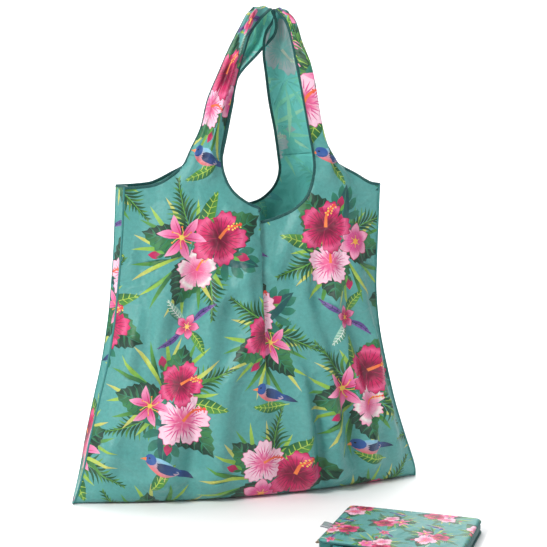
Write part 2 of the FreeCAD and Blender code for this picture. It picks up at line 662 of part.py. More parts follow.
for z in ("%s - Sizes.eye_height / 2 - Sizes.eye_clearance - Sizes.slider_wall" % zip_mid,
          "%s + Sizes.eye_height / 2 + Sizes.eye_clearance" % zip_mid):
    block(zip_slider, "Additive", "%s - Sizes.post_radius" % slider_x, "%s - Sizes.post_radius" % post_y, z,
          "2 * Sizes.post_radius", "Sizes.post_stand_off + Sizes.post_radius + Sizes.slider_wall / 2",
          "Sizes.slider_wall")
rod(zip_slider, "Additive", slider_x, post_y, "%s - Sizes.eye_height / 2 - Sizes.eye_clearance" % zip_mid,
    "Sizes.post_radius", "Sizes.eye_height + 2 * Sizes.eye_clearance")

# Pull: an eye round the post and a flat tab with a round end.
pull_tab = pouch_body("pull_tab")
eye_radius = cell("post_radius + eye_clearance + pull_wall / 2")
rod(pull_tab, "Additive", slider_x, post_y, "%s - Sizes.eye_height / 2" % zip_mid, eye_radius, "Sizes.eye_height")
block(pull_tab, "Additive", slider_x, "%s - Sizes.pull_wall / 2" % post_y, "%s - Sizes.eye_height / 2" % zip_mid,
      "Sizes.pull_width / 2", "Sizes.pull_wall", "Sizes.eye_height")
block(pull_tab, "Additive", "%s + Sizes.pull_width / 2 - 0.2" % slider_x, "%s - Sizes.pull_wall / 2" % post_y,
      "%s - Sizes.pull_width / 2" % zip_mid, "Sizes.pull_length - Sizes.pull_width / 2", "Sizes.pull_wall",
      "Sizes.pull_width")
tab_end = number("%s + Sizes.pull_length" % slider_x) - 1
rounded(pull_tab, "Sizes.pull_width * 0.4", lambda edge, middle: middle.x > tab_end
        and abs(edge.Length - number("Sizes.pull_wall")) < 1e-6)
rod(pull_tab, "Subtractive", slider_x, post_y, "%s - Sizes.eye_height" % zip_mid,
    cell("post_radius + eye_clearance"), "2 * Sizes.eye_height")

# Tags sewn into the pouch's left side.
side_tag = pouch_body("side_tag")
block(side_tag, "Additive", cell("pouch_width / -2 - side_tag_length"), cell("side_tag_width / -2"),
      "%s - Sizes.side_tag_wall / 2" % zip_mid, "Sizes.side_tag_length", "Sizes.side_tag_width",
      "Sizes.side_tag_wall")
rounded(side_tag, "Sizes.side_tag_wall * 0.45", lambda edge, middle: upright(edge, middle))
end_tab = pouch_body("end_tab")
block(end_tab, "Additive", cell("pouch_width / -2 - end_tab_length"), cell("pouch_depth / -2 + pouch_corner"),
      "%s - Sizes.end_tab_wall / 2" % zip_mid, "Sizes.end_tab_length", "Sizes.end_tab_width", "Sizes.end_tab_wall")

# ---------------------------------------------------------------- checks and files

doc.recompute()
for obj in doc.Objects:
    for state in obj.State:
        if state in ("Invalid", "Error"):
            raise RuntimeError("%s: %s" % (obj.Label, state))

os.makedirs("parts", exist_ok=True)
for obj in PARTS:
    shape = obj.Shape
    if shape.isNull() or not shape.isValid() or shape.Volume <= 0 or len(shape.Solids) != 1:
        raise RuntimeError("%s: bad shape" % obj.Label)
for obj in PARTS:
    obj.Shape.exportStep("parts/%s.step" % obj.Label)
print(len(PARTS), "parts, total", round(sum(o.Shape.Volume for o in PARTS) / 1000, 1), "cm3")
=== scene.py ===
import math

import bpy
import numpy as np
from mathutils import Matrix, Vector
from mathutils.geometry import delaunay_2d_cdt


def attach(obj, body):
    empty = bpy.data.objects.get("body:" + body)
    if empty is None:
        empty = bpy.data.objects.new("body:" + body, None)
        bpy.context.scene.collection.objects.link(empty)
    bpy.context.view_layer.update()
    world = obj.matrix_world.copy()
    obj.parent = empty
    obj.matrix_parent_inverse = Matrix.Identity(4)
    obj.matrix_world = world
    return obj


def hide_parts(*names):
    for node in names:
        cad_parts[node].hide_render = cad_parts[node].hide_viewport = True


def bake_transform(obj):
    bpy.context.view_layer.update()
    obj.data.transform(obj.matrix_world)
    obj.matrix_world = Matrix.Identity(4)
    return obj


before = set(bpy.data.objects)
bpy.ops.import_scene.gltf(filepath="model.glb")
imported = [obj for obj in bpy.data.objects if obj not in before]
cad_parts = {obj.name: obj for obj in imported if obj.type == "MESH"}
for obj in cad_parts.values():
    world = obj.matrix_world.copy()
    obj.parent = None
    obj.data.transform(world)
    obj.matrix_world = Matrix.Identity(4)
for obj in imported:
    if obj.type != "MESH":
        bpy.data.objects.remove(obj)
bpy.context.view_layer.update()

# ---------------------------------------------------------------- cut sizes, millimetres
# Every panel is laid out flat in (u, v): u across the bag, v up from the bottom seam.

HALF_CUT = 200.0
SHOULDER_V = 405.0
SPLIT_V = 437.0
SHOULDER_Z = 376.0
BASE_HALF, TOP_HALF = 218.0, 156.0
STRAP_CUT = 56.0
GUSSET_CUT = 64.0
GROUND = 0.6


def ease(low, high, value):
    k = np.clip((np.asarray(value, float) - low) / (high - low), 0, 1)
    return k * k * (3 - 2 * k)


# Half widths up the bag, from base to shoulder line: the left side flares sooner than the right.
LEFT_FLARE = ((0, 0.04, 0.11, 0.2, 0.33, 0.46, 0.6, 0.79, 1),
              (BASE_HALF, 213, 206, 200, 188, 176, 167.5, 160.5, TOP_HALF))
RIGHT_FLARE = ((0, 0.04, 0.09, 0.16, 0.275, 0.42, 0.52, 0.65, 0.82, 1),
               (BASE_HALF, 216, 208, 198, 183, 169, 160, 154, 154.5, TOP_HALF))


def half_width(s, side=-1):
    keys, widths = LEFT_FLARE if side < 0 else RIGHT_FLARE
    near = [np.interp(np.clip(s + d, 0, 1), keys, widths) for d in (-0.05, -0.025, 0, 0.025, 0.05)]
    soft = (near[0] + 2 * near[1] + 3 * near[2] + 2 * near[3] + near[4]) / 9
    k = ease(0, 0.06, s) * (1 - ease(0.94, 1, s))
    return near[2] * (1 - k) + soft * k


def seam_depth(s):
    return 3 + 25 * np.sqrt(s)


def crown_depth(s):
    return 35 + s + 33 * (s / 0.3) ** 0.6 * ((1 - s) / 0.7) ** 1.4


def pleat_depth(s):
    return 42 * ease(0.30, 0.85, s)


def arclength(points):
    return np.concatenate([[0], np.cumsum(np.linalg.norm(np.diff(points, axis=0), axis=1))])


def level_curve(s, fold_x, layer):
    """One level of a panel from seam to seam, with its centre pleat, even in cloth length."""
    g, b = seam_depth(s), crown_depth(s)
    a_left, a_right = float(half_width(s, -1)), float(half_width(s, 1))
    p = pleat_depth(s)
    gap = layer * float(ease(0.28, 0.5, s))

    def arc(x, lift):
        share = x / np.where(x < 0, a_left, a_right)
        return np.stack([x, -(g + (b - g) * (1 - share ** 2)) - lift], 1)

    left_x = np.linspace(-a_left, fold_x, 120)
    lift = gap * ease(-90, fold_x, left_x)
    left = arc(left_x, lift)
    right_x = np.linspace(fold_x - p, a_right, 160)
    right = arc(right_x, -gap * (1 - ease(fold_x - p, fold_x + 70, right_x)))
    middle = np.linspace(left[-1], right[0], 14)[1:-1]
    line = np.concatenate([left, middle, right])
    run = arclength(line)
    return line, run


U_GRID = np.arange(-HALF_CUT, HALF_CUT + 0.1, 2.0)
V_GRID = np.arange(0, 700.1, 2.0)
LEVELS = np.linspace(0, 1, 161)


def spread(grid, sigma, axis):
    """Gaussian softening that leaves the end rows where they are."""
    reach = int(3 * sigma) + 1
    weights = np.exp(-0.5 * (np.arange(-reach, reach + 1) / sigma) ** 2)
    weights /= weights.sum()
    g = np.moveaxis(grid, axis, 0)
    head = 2 * g[:1] - g[1:reach + 1][::-1]
    tail = 2 * g[-1:] - g[-reach - 1:-1][::-1]
    padded = np.concatenate([head, g, tail])
    out = sum(w * padded[i:i + len(g)] for i, w in enumerate(weights))
    return np.moveaxis(out, 0, axis)


def body_grid(fold_x, layer):
    """Positions of a front panel's cloth over (v, u), before the straps take over."""
    xs, ys = [], []
    for s in LEVELS:
        line, run = level_curve(s, fold_x, layer)
        t = (U_GRID + HALF_CUT) / (2 * HALF_CUT) * run[-1]
        xs.append(np.interp(t, run, line[:, 0]))
        ys.append(np.interp(t, run, line[:, 1]))
    xs, ys = np.array(xs), np.array(ys)
    rows = V_GRID[V_GRID <= 480]
    out = np.zeros((len(rows), len(U_GRID), 3))
    for i in range(len(U_GRID)):
        foot = abs(ys[0, i])
        s = (rows - foot) / (SHOULDER_V - foot)
        up = s >= 0
        level = np.clip(s, 0, 1)
        out[:, i, 0] = np.interp(level, LEVELS, xs[:, i])
        out[:, i, 1] = np.where(up, np.interp(level, LEVELS, ys[:, i]), -rows)
        out[:, i, 2] = np.where(up, GROUND + s * (SHOULDER_Z - GROUND), GROUND)
    return rows, out


# Edges of each strap from the shoulder line to the hanging point: outer edge, then inner.
STRAPS = {
    "front_left": ((-139, -83), [
        ((-95, -32, 380), (-40, -37, 379)), ((-88, -31, 396), (-41, -36, 395)),
        ((-79, -29, 417), (-41, -34, 412)),
        ((-67, -27, 440), (-37, -33, 433)), ((-57, -24, 475), (-29, -29, 465)),
        ((-42, -19, 507), (-20, -24, 500)),
        ((-29, -14, 533), (-10, -18, 530)), ((-15, -10, 558), (1, -12, 555)), ((-6, -7, 572), (14, -9, 571)),
        ((4, 0, 583), (28.5, 0, 583))]),
    "back_left": ((-129, -73), [
        ((-80, 31, 380), (-29, 34, 379)), ((-72, 30, 396), (-27, 32, 395)), ((-63, 29, 415), (-25, 28, 412)),
        ((-51, 26, 440), (-21, 26, 432)), ((-42, 22, 475), (-14, 23, 470)), ((-29, 18, 505), (-8, 20, 502)),
        ((-13, 14, 532), (18, 14, 533)), ((0, 10, 556), (36, 8, 556)), ((0, 7, 571), (36, 6, 569)),
        ((4, 0, 583), (28.5, 0, 583))]),
    "front_right": ((166, 110), [
        ((121, -29, 381), (68, -40, 377)), ((104, -25, 397), (67, -43, 394)),
        ((92, -21, 414), (65, -45, 411)),
        ((82, -16, 436), (61, -46, 430)), ((72, -12, 466), (57, -39, 462)), ((67, -9, 490), (54, -31, 490)),
        ((64, -6, 518), (51, -21, 518)), ((60, -4, 545), (48, -12, 545)), ((55, -5, 567), (41, -8, 568)),
        ((47, 0, 581), (30, 0, 583))]),
    "back_right": ((148, 92), [
        ((103, 30, 381), (48, 33, 377)), ((101, 29, 397), (46, 31, 394)), ((97, 28, 415), (43, 29, 411)),
        ((91, 25, 440), (38, 25, 438)), ((83, 21, 475), (29, 19, 475)), ((77, 17, 505), (24, 15, 505)),
        ((70, 13, 530), (20, 12, 534)), ((62, 9, 555), (23, 8, 558)), ((55, 6, 568), (30, 7, 569)),
        ((47, 0, 581), (30, 0, 583))]),
}


def smooth_rows(keys, values, at):
    """Cubic interpolation of rows of values through their keys."""
    keys = np.asarray(keys, float)
    values = np.asarray(values, float)
    slopes = np.gradient(values, keys, axis=0)
    at = np.clip(at, keys[0] - 40, keys[-1] + 10)
    i = np.clip(np.searchsorted(keys, at) - 1, 0, len(keys) - 2)
    h = (keys[i + 1] - keys[i])
    t = (at - keys[i]) / h
    t, h = t[..., None], h[..., None]
    t2, t3 = t * t, t * t * t
    inside = ((2 * t3 - 3 * t2 + 1) * values[i] + (t3 - 2 * t2 + t) * h * slopes[i]
              + (3 * t2 - 2 * t3) * values[i + 1] + (t3 - t2) * h * slopes[i + 1])
    low = values[0] + (at[..., None] - keys[0]) * slopes[0]
    return np.where(at[..., None] < keys[0], low, inside)


class Strap:
    def __init__(self, name):
        (self.u_outer, self.u_inner), rows = STRAPS[name]
        edges = np.array([[*a, *b] for a, b in rows], float)
        middle = (edges[:, :3] + edges[:, 3:]) / 2
        run = arclength(middle)
        self.keys = run - np.interp(410, middle[:, 2], run) + SPLIT_V
        self.edges = edges
        self.top_v = self.keys[-1]
        self.outward = -1.0 if name.startswith("front") else 1.0

    def at(self, u, v):
        """Cloth position: straight across the strap's edges, bowed by its spare width."""
        edge = smooth_rows(self.keys, self.edges, v)
        outer, inner = edge[..., :3], edge[..., 3:]
        w = (2 * (u - self.u_outer) / (self.u_inner - self.u_outer) - 1)[..., None]
        across = inner - outer
        chord = np.linalg.norm(across, axis=-1, keepdims=True)
        slack = np.clip(STRAP_CUT / np.maximum(chord, 8) - 1, 0, 1.9)
        bow = chord * np.sqrt(0.375 * slack) * 0.80 * (1 - 0.78 * ease(self.top_v - 26, self.top_v - 4,
                                                                       v))[..., None]
        facing = np.stack([-across[..., 1], across[..., 0], 0 * across[..., 0]], -1)
        facing /= np.maximum(np.linalg.norm(facing, axis=-1, keepdims=True), 1e-6)
        facing *= np.sign(facing[..., 1:2] * self.outward + 1e-9)
        top = ease(self.top_v - 45, self.top_v, v)[..., None]
        facing = facing * (1 - top) + np.array([0, 0, 1.0]) * top
        facing /= np.maximum(np.linalg.norm(facing, axis=-1, keepdims=True), 1e-6)
        w = np.clip(w, -1.4, 1.4)
        gather = 1 - np.clip(w, -1,
                             1) ** 2 + 0.24 * np.sin(2 * np.pi * np.clip(w, -1,
                                                                         1) + 0.6 * np.sin(v / 23)[..., None])
        gather = gather - 0.24 * np.sin(0.6 * np.sin(v / 23))[..., None]
        return (outer + inner) / 2 + across * w / 2 + facing * bow * gather


def ridge(grid, rows, normal, u0, v0, u1, v1, width, height):
    """A soft fold line in the cloth, from one flat point to another."""
    uu, vv = np.meshgrid(U_GRID, rows)
    du, dv = u1 - u0, v1 - v0
    length2 = du * du + dv * dv
    t = ((uu - u0) * du + (vv - v0) * dv) / length2
    along = np.clip(t, 0, 1)
    far = np.hypot(uu - u0 - along * du, vv - v0 - along * dv)
    swell = np.exp(-0.5 * (far / width) ** 2) * np.sin(np.pi * np.clip(0.12 + 0.76 * along, 0, 1))
    grid += normal * (height * swell)[..., None]


def grid_normals(grid):
    du = np.gradient(grid, axis=1)
    dv = np.gradient(grid, axis=0)
    n = np.cross(du, dv)
    return n / np.maximum(np.linalg.norm(n, axis=-1, keepdims=True), 1e-9)


class Panel:
    """A front or back panel: cloth positions and outward normals over its flat cut."""

    def __init__(self, side, straps, folds, fold_x, layer):
        rows, grid = body_grid(fold_x, layer)
        grid = spread(grid, 3.2, 0)
        grid = spread(grid, 1.6, 1)
        if side == "back":
            grid[..., 1] *= -1
        sign = 1.0 if side == "front" else -1.0
        normal = spread(spread(grid_normals(grid), 4, 0), 4, 1) * sign
        fade = ease(0, 26, HALF_CUT - np.abs(U_GRID))[None, :] * ease(30, 60, rows)[:, None]
        flatten = normal * fade[..., None]
        for u0, v0, u1, v1, width, height in folds:
            ridge(grid, rows, flatten, u0, v0, u1, v1, width * 0.78, height * 1.9)
        uu, vv = np.meshgrid(U_GRID, rows)
        for strap in straps:
            low, high = sorted((strap.u_outer, strap.u_inner))
            near = 1 - ease(0, 22, np.maximum(low - uu, uu - high))
            k = (ease(388, 432, vv) * near)[..., None]
            grid = grid * (1 - k) + strap.at(uu, vv) * k
        grid[..., 2] = np.maximum(grid[..., 2], GROUND)
        self.rows, self.grid, self.sign = rows, grid, sign
        self.normal = grid_normals(grid) * sign

    def sample(self, table, u, v):
        i = np.clip((u + HALF_CUT) / 2.0, 0, len(U_GRID) - 1.001)
        j = np.clip(v / 2.0, 0, len(self.rows) - 1.001)
        i0, j0 = i.astype(int), j.astype(int)
        fi, fj = (i - i0)[:, None], (j - j0)[:, None]
        return ((table[j0, i0] * (1 - fi) + table[j0, i0 + 1] * fi) * (1 - fj)
                + (table[j0 + 1, i0] * (1 - fi) + table[j0 + 1, i0 + 1] * fi) * fj)

    def at(self, u, v):
        return self.sample(self.grid, u, v)

    def normal_at(self, u, v):
        n = self.sample(self.normal, u, v)
        return n / np.maximum(np.linalg.norm(n, axis=1, keepdims=True), 1e-9)


class Handle:
    """A handle loop: the front strap, over the hanging point, and the back strap, as one strip.

    w runs 0 to STRAP_CUT from the outer edge to the inner, t from the front root to the back."""

    def __init__(self, front, back):
        self.front, self.back = front, back
        self.front_run = front.top_v - SPLIT_V
        self.length = self.front_run + back.top_v - SPLIT_V

    def at(self, w, t):
        w, t = np.asarray(w, float), np.asarray(t, float)
        f, b = self.front, self.back
        share = w / STRAP_CUT
        on_front = f.at(f.u_outer + (f.u_inner - f.u_outer) * share, SPLIT_V + t)
        on_back = b.at(b.u_outer + (b.u_inner - b.u_outer) * share, SPLIT_V + self.length - t)
        k = ease(self.front_run - 1, self.front_run + 1, t)[:, None]
        return on_front * (1 - k) + on_back * k

    def normal_at(self, w, t):
        step = 0.8
        inner = np.clip(w, step, STRAP_CUT - step)
        across = self.at(inner + step, t) - self.at(inner - step, t)
        along = self.at(inner, t + step) - self.at(inner, t - step)
        n = np.cross(across, along)
        n /= np.maximum(np.linalg.norm(n, axis=1, keepdims=True), 1e-9)
        middle = self.at(np.full_like(t, STRAP_CUT / 2), t)
        centre = np.stack([middle[:, 0], 0 * t, np.minimum(middle[:, 2], 555)], 1)
        away = np.sign((n * (middle - centre)).sum(1))
        return n * np.where(away == 0, 1, away)[:, None]


class Gusset:
    """A side panel: w across from the front seam to the back, v up from the bottom seam."""

    def __init__(self, side):
        self.side = side

    def at(self, w, v):
        w, v = np.asarray(w, float), np.asarray(v, float)
        s = np.clip((v - 3) / (SHOULDER_V - 3), 0, 1)
        y = (w / GUSSET_CUT * 2 - 1)
        g = seam_depth(s)
        dent = 9 * ease(0.05, 0.5, s) * (1 - y * y) + 1.2 * np.sin(v / 17) * (1 - y * y) * ease(0, 0.2, s)
        x = half_width(s, self.side) - dent
        z = GROUND + (v - 3) / (SHOULDER_V - 3) * (SHOULDER_Z - GROUND)
        return np.stack([self.side * x, g * y, np.maximum(z, GROUND)], -1)

    def normal_at(self, w, v):
        across = self.at(w + 0.5, v) - self.at(w - 0.5, v)
        along = self.at(w, v + 0.5) - self.at(w, v - 0.5)
        n = np.cross(across, along)
        n /= np.maximum(np.linalg.norm(n, axis=1, keepdims=True), 1e-9)
        return n * np.sign(n[:, :1] * self.side + 1e-9)


def curve_through(points, step):
    """Even points along a smooth curve through flat points."""
    points = np.asarray(points, float)
    run = arclength(points)
    slopes = np.gradient(points, run, axis=0)
    at = np.linspace(0, run[-1], max(3, int(round(run[-1] / step)) + 1))
    i = np.clip(np.searchsorted(run, at) - 1, 0, len(run) - 2)
    h = (run[i + 1] - run[i])[:, None]
    t = (at[:, None] - run[i][:, None]) / h
    t2, t3 = t * t, t * t * t
    return ((2 * t3 - 3 * t2 + 1) * points[i] + (t3 - 2 * t2 + t) * h * slopes[i]
            + (3 * t2 - 2 * t3) * points[i + 1] + (t3 - t2) * h * slopes[i + 1])


# Folds: flat start, flat end, half width and height, in millimetres.
FRONT_FOLDS = [
    (-112, 440, -60, 120, 13, 6.5), (-96, 430, -20, 210, 9, 5.0), (-130, 430, -150, 90, 15, 6.0),
    (-150, 400, -182, 60, 11, 5.0), (-70, 400, -36, 300, 8, 3.4), (136, 430, 118, 110, 13, 6.5),
    (150, 420, 172, 80, 13, 6.0), (122, 420, 78, 220, 10, 4.8), (110, 400, 60, 300, 8, 3.6),
    (95, 250, 88, 20, 12, 7.5), (132, 220, 142, 20, 10, 5.5), (58, 190, 54, 24, 9, 6.0),
    (74, 170, 70, 20, 7, -5.0),
    (112, 190, 116, 24, 8, -5.0), (170, 330, 188, 40, 9, 4.2), (-100, 180, -114, 20, 13, 5.5),
    (-40, 200, -54, 24, 11, 5.2), (-72, 170, -84, 24, 9, -4.6), (-175, 330, -150, 200, 8, -4.0),
    (-80, 330, -130, 230, 12, -4.2), (20, 170, 30, 24, 12, -4.6), (-150, 44, -60, 66, 8, 3.2),
    (60, 56, 150, 44, 8, 3.2),
    (-190, 96, -120, 60, 9, 3.8), (180, 120, 110, 60, 9, 3.6), (-30, 330, -90, 250, 9, 3.4),
    (150, 300, 110, 240, 8, 3.2),
    (-160, 140, -176, 20, 9, 4.0), (166, 170, 180, 24, 8, 3.6), (-186, 250, -150, 130, 8, 3.0),
    (186, 240, 160, 140, 8, 2.8),
    (-20, 250, -60, 150, 10, 3.2), (30, 330, 96, 260, 9, 3.0),
]
BACK_FOLDS = [
    (-101, 430, -60, 130, 13, 4.8), (-120, 430, -150, 90, 14, 4.4), (120, 430, 90, 120, 13, 4.8),
    (140, 420, 170, 90, 13, 4.2), (-80, 410, -30, 230, 9, 3.2), (100, 400, 50, 240, 9, 3.2),
    (-90, 200, -100, 40, 13, 3.6), (0, 200, 8, 40, 12, 3.2), (100, 220, 108, 30, 12, 4.0),
    (-160, 300, -180, 50, 10, 2.8), (170, 300, 186, 50, 10, 2.8), (-140, 60, -40, 70, 8, 2.2),
]

straps = {name: Strap(name) for name in STRAPS}
front = Panel("front", [straps["front_left"], straps["front_right"]], FRONT_FOLDS, 4.0, 3.5)
back = Panel("back", [straps["back_left"], straps["back_right"]], BACK_FOLDS, -3.0, 3.0)
left_loop = Handle(straps["front_left"], straps["back_left"])
right_loop = Handle(straps["front_right"], straps["back_right"])

FRONT_NECK = [(-83, 437), (-82, 420), (-76, 404), (-64, 392), (-52, 385), (-39, 380), (-20, 372), (2, 365),
              (25, 361), (44, 363), (66, 368), (90, 379), (102, 392), (108, 408), (110, 424), (110, 437)]
BACK_NECK = [(-73, 437), (-72, 420), (-66, 402), (-50, 388), (-20, 380), (12, 378), (44, 379), (68, 386),
             (84, 402), (91, 420), (92, 437)]


def panel_shoulders(outer_left, outer_right):
    left = [(-200, 405), (-180, 406), (-163, 409), (-150, 416), (outer_left - 1.5, 426), (outer_left, 437)]
    if outer_left > -135:
        left = [(-200, 405), (-175, 406), (-154, 409), (-141, 416), (outer_left - 1.5, 426),
                (outer_left, 437)]
    right = [(outer_right, 437), (outer_right + 1.5, 426), (outer_right + 9, 416), (200 - 14, 408),
             (200, 405)]
    return left, right


def panel_outline(neck, shoulders):
    """The cut edge of a panel, anticlockwise from the bottom left."""
    left, right = shoulders
    bottom = [(u, 0.0) for u in np.linspace(-HALF_CUT, HALF_CUT, 161)]
    side = [(HALF_CUT, v) for v in np.linspace(0, SHOULDER_V, 136)[1:-1]]
    loop = bottom + side
    loop += [tuple(p) for p in curve_through(right[::-1], 2.5)]
    loop += [(u, 437.0) for u in np.linspace(right[0][0], neck[-1][0], 20)[1:-1]]
    loop += [tuple(p) for p in curve_through(neck[::-1], 2.5)]
    loop += [(u, 437.0) for u in np.linspace(neck[0][0], left[-1][0], 20)[1:-1]]
    loop += [tuple(p) for p in curve_through(left[::-1], 2.5)]
    loop += [(-HALF_CUT, v) for v in np.linspace(SHOULDER_V, 0, 136)[1:-1]]
    return loop


FRONT_SHOULDERS = panel_shoulders(-139, 166)
BACK_SHOULDERS = panel_shoulders(-129, 148)
# ==== end of shapes

# ---------------------------------------------------------------- colours and print motifs


def tint(r, g, b):
    """A display colour as linear light."""
    c = np.array([r, g, b], float) / 255
    return np.where(c <= 0.04045, c / 12.92, ((c + 0.055) / 1.055) ** 2.4)


TEAL = tint(80, 152, 147)
INK = {
    "hem": tint(12, 84, 82), "magenta": tint(200, 22, 92), "deep_magenta": tint(112, 4, 48),
    "rose": tint(226, 92, 142), "pink": tint(232, 128, 172), "mid_pink": tint(218, 84, 146),
    "pale": tint(242, 196, 214), "blush": tint(238, 160, 190), "wine": tint(110, 20, 60),
    "coral": tint(232, 74, 58), "orange": tint(240, 128, 60), "yellow": tint(240, 206, 84),
    "dark_green": tint(10, 54, 38), "leaf": tint(26, 96, 50), "fresh": tint(92, 158, 58),
    "lime": tint(168, 196, 74), "sea_leaf": tint(40, 124, 96), "deep_sea": tint(10, 78, 78),
    "purple": tint(88, 62, 132), "violet": tint(140, 106, 176), "night": tint(24, 34, 66),
    "blue": tint(44, 84, 152), "sky": tint(126, 180, 206),
    "white": tint(238, 240, 232), "black": tint(18, 18, 24),
    "deep_green": tint(12, 50, 36), "khaki": tint(198, 190, 110), "mid_leaf": tint(52, 124, 70),
    "mint": tint(168, 216, 196),
}


class Art:
    """Flat coloured shapes, the later ones on top. Each colour runs along or out from a line."""

    def __init__(self):
        self.shapes = []

    def add(self, points, kind, colours, a, b):
        self.shapes.append((np.asarray(points, float), kind,
                            [INK[c] if isinstance(c, str) else c for c in colours],
                            np.asarray(a, float), b))

    def merge(self, other, u, v, size, turn, flip=False):
        c, s = math.cos(math.radians(turn)), math.sin(math.radians(turn))
        spin = np.array([[c, -s], [s, c]])
        side = np.array([-1.0 if flip else 1.0, 1.0])

        def move(p):
            return (np.asarray(p, float) * side * size) @ spin.T + (u, v)

        for points, kind, colours, a, b in other.shapes:
            self.shapes.append((move(points), kind, colours, move(a), move(b) if kind == "run" else b * size))


def mix_stops(colours, k):
    k = np.clip(k, 0, 1) * (len(colours) - 1)
    i = np.clip(k.astype(int), 0, len(colours) - 2)
    f = (k - i)[:, None]
    table = np.array(colours)
    return table[i] * (1 - f) + table[i + 1] * f


def paint(shape, uv):
    _, kind, colours, a, b = shape
    if len(colours) == 1:
        return np.repeat(np.array(colours), len(uv), 0)
    if kind == "run":
        d = b - a
        return mix_stops(colours, ((uv - a) @ d) / max(d @ d, 1e-9))
    return mix_stops(colours, np.linalg.norm(uv - a, axis=1) / max(b, 1e-6))


def blade(start, end, width, bend=0.0, tip=1.0, steps=9, fullest=0.45):
    """A petal or leaf outline from start to end, widest part way along."""
    start, end = np.array(start, float), np.array(end, float)
    d = end - start
    n = np.array([-d[1], d[0]])
    t = np.linspace(0, 1, steps)
    spine = start + t[:, None] * d + (bend * np.sin(np.pi * t))[:, None] * n
    half = np.sin(np.pi * t ** (math.log(0.5) / math.log(fullest))) ** tip * width / 2
    side = n / max(np.linalg.norm(d), 1e-9)
    left = spine + half[:, None] * side
    right = spine - half[:, None] * side
    return np.concatenate([left, right[1:-1][::-1]])


def stroke(points, w0, w1, steps=10):
    """A tapered line along a curve."""
    p = curve_through(points, arclength(np.asarray(points, float))[-1] / steps)
    d = np.gradient(p, axis=0)
    n = np.stack([-d[:, 1], d[:, 0]], 1) / np.maximum(np.linalg.norm(d, axis=1, keepdims=True), 1e-9)
    w = np.linspace(w0, w1, len(p))[:, None] / 2
    return np.concatenate([p + n * w, (p - n * w)[::-1]])


def disc(x, y, r, steps=8, squash=1.0, turn=0.0):
    a = np.linspace(0, 2 * np.pi, steps, endpoint=False)
    q = np.stack([np.cos(a) * r, np.sin(a) * r * squash], 1)
    c, s = math.cos(math.radians(turn)), math.sin(math.radians(turn))
    return q @ np.array([[c, s], [-s, c]]) + (x, y)


def polar(angle, r):
    return np.array([math.cos(math.radians(angle)) * r, math.sin(math.radians(angle)) * r])


def hibiscus(edge, body, throat, vein, stamen, turn=0.0, stripes=False, pollen="yellow"):
    """Five broad ruffled petals of unit reach, a dark throat and a long stamen."""
    art = Art()
    order = [0, 2, 4, 1, 3]
    art.add(disc(0, 0, 0.46, 14), "ring", [throat, body], (0, 0), 0.46)
    for k in order:
        a = 72 * k + turn
        reach = 0.98 + 0.05 * math.sin(3.1 * k + turn)
        t = np.linspace(-1, 1, 19)
        spread_angle = a + t * 34
        r = reach * (1.03 - 0.12 * t ** 2 + 0.06 * np.cos(t * 13 + k) - 0.36 * np.abs(t) ** 4)
        rim = np.stack([np.cos(np.radians(spread_angle)) * r, np.sin(np.radians(spread_angle)) * r], 1)
        rim = np.concatenate([[polar(a, 0.05)], rim])
        art.add(rim * 1.025, "flat", [vein], (0, 0), 1)
        art.add(rim, "ring", [throat, throat, throat, body, body, edge, body], (0, 0), 1.0)
        for far, near, span in ((0.80, 0.2, 9), (0.62, 0.16, 16)):
            shade = [polar(a + 34, near), polar(a + 34 - span, far), polar(a + 38, far + 0.02)]
            art.add(shade, "ring", [throat, throat, body], (0, 0), far)
        for j, off in enumerate((-26, -13, 0, 13, 26)):
            far = reach * (0.86 - 0.004 * abs(off))
            middle = polar(a + off * 0.75, far * 0.55)
            width = 0.095 if stripes else 0.036
            art.add(stroke([polar(a + off * 0.35, 0.12), middle, polar(a + off, far)], width, 0.012, 5),
                    "flat",
                    [vein], (0, 0), 1)
    for k in range(5):
        a = 72 * k + turn
        art.add(blade(polar(a, 0.02), polar(a, 0.52), 0.20, 0, 1, 7), "ring", [throat, throat, body],
                (0, 0), 0.52)
    tip = polar(stamen, 0.92)
    bend = polar(stamen + 16, 0.5)
    art.add(stroke([(0, 0), bend, tip], 0.13, 0.06, 8), "run", ["orange", "coral"], (0, 0), tip)
    for j in range(10):
        at = bend * (1 - (j / 9)) + tip * (j / 9)
        side = polar(stamen + 90, 0.075 * (1 if j % 2 else -1))
        art.add(disc(*(at + side * (0.6 + 0.4 * (j % 3))), 0.038, 5), "flat", [pollen], (0, 0), 1)
    art.add(disc(*tip, 0.07, 6), "flat", ["coral"], (0, 0), 1)
    return art


def star_flower(edge, body, middle, petals=6, turn=0.0):
    art = Art()
    for k in range(petals):
        a = 360 / petals * k + turn
        art.add(blade(polar(a, 0.03), polar(a, 1.03), 0.66, 0.05, 0.85, 9, 0.54), "flat", [middle], (0, 0), 1)
        art.add(blade(polar(a, 0.05), polar(a, 1.0), 0.62, 0.05, 0.85, 9, 0.54), "ring",
                [middle, body, body, edge, edge], (0, 0), 1.0)
        art.add(stroke([polar(a, 0.1), polar(a + 2, 0.8)], 0.03, 0.01, 3), "flat", [middle], (0, 0), 1)
        art.add(stroke([polar(a - 5, 0.15), polar(a - 11, 0.62)], 0.022, 0.01, 3), "flat", [middle], (0, 0),
                1)
        art.add(stroke([polar(a + 5, 0.15), polar(a + 12, 0.62)], 0.022, 0.01, 3), "flat", [middle], (0, 0),
                1)
    art.add(disc(0, 0, 0.17, 9), "ring", ["yellow", "orange"], (0, 0), 0.17)
    for k in range(6):
        art.add(stroke([polar(60 * k + 12, 0.1), polar(60 * k + 20, 0.34)], 0.035, 0.03, 3), "flat",
                ["yellow"], (0, 0), 1)
    return art


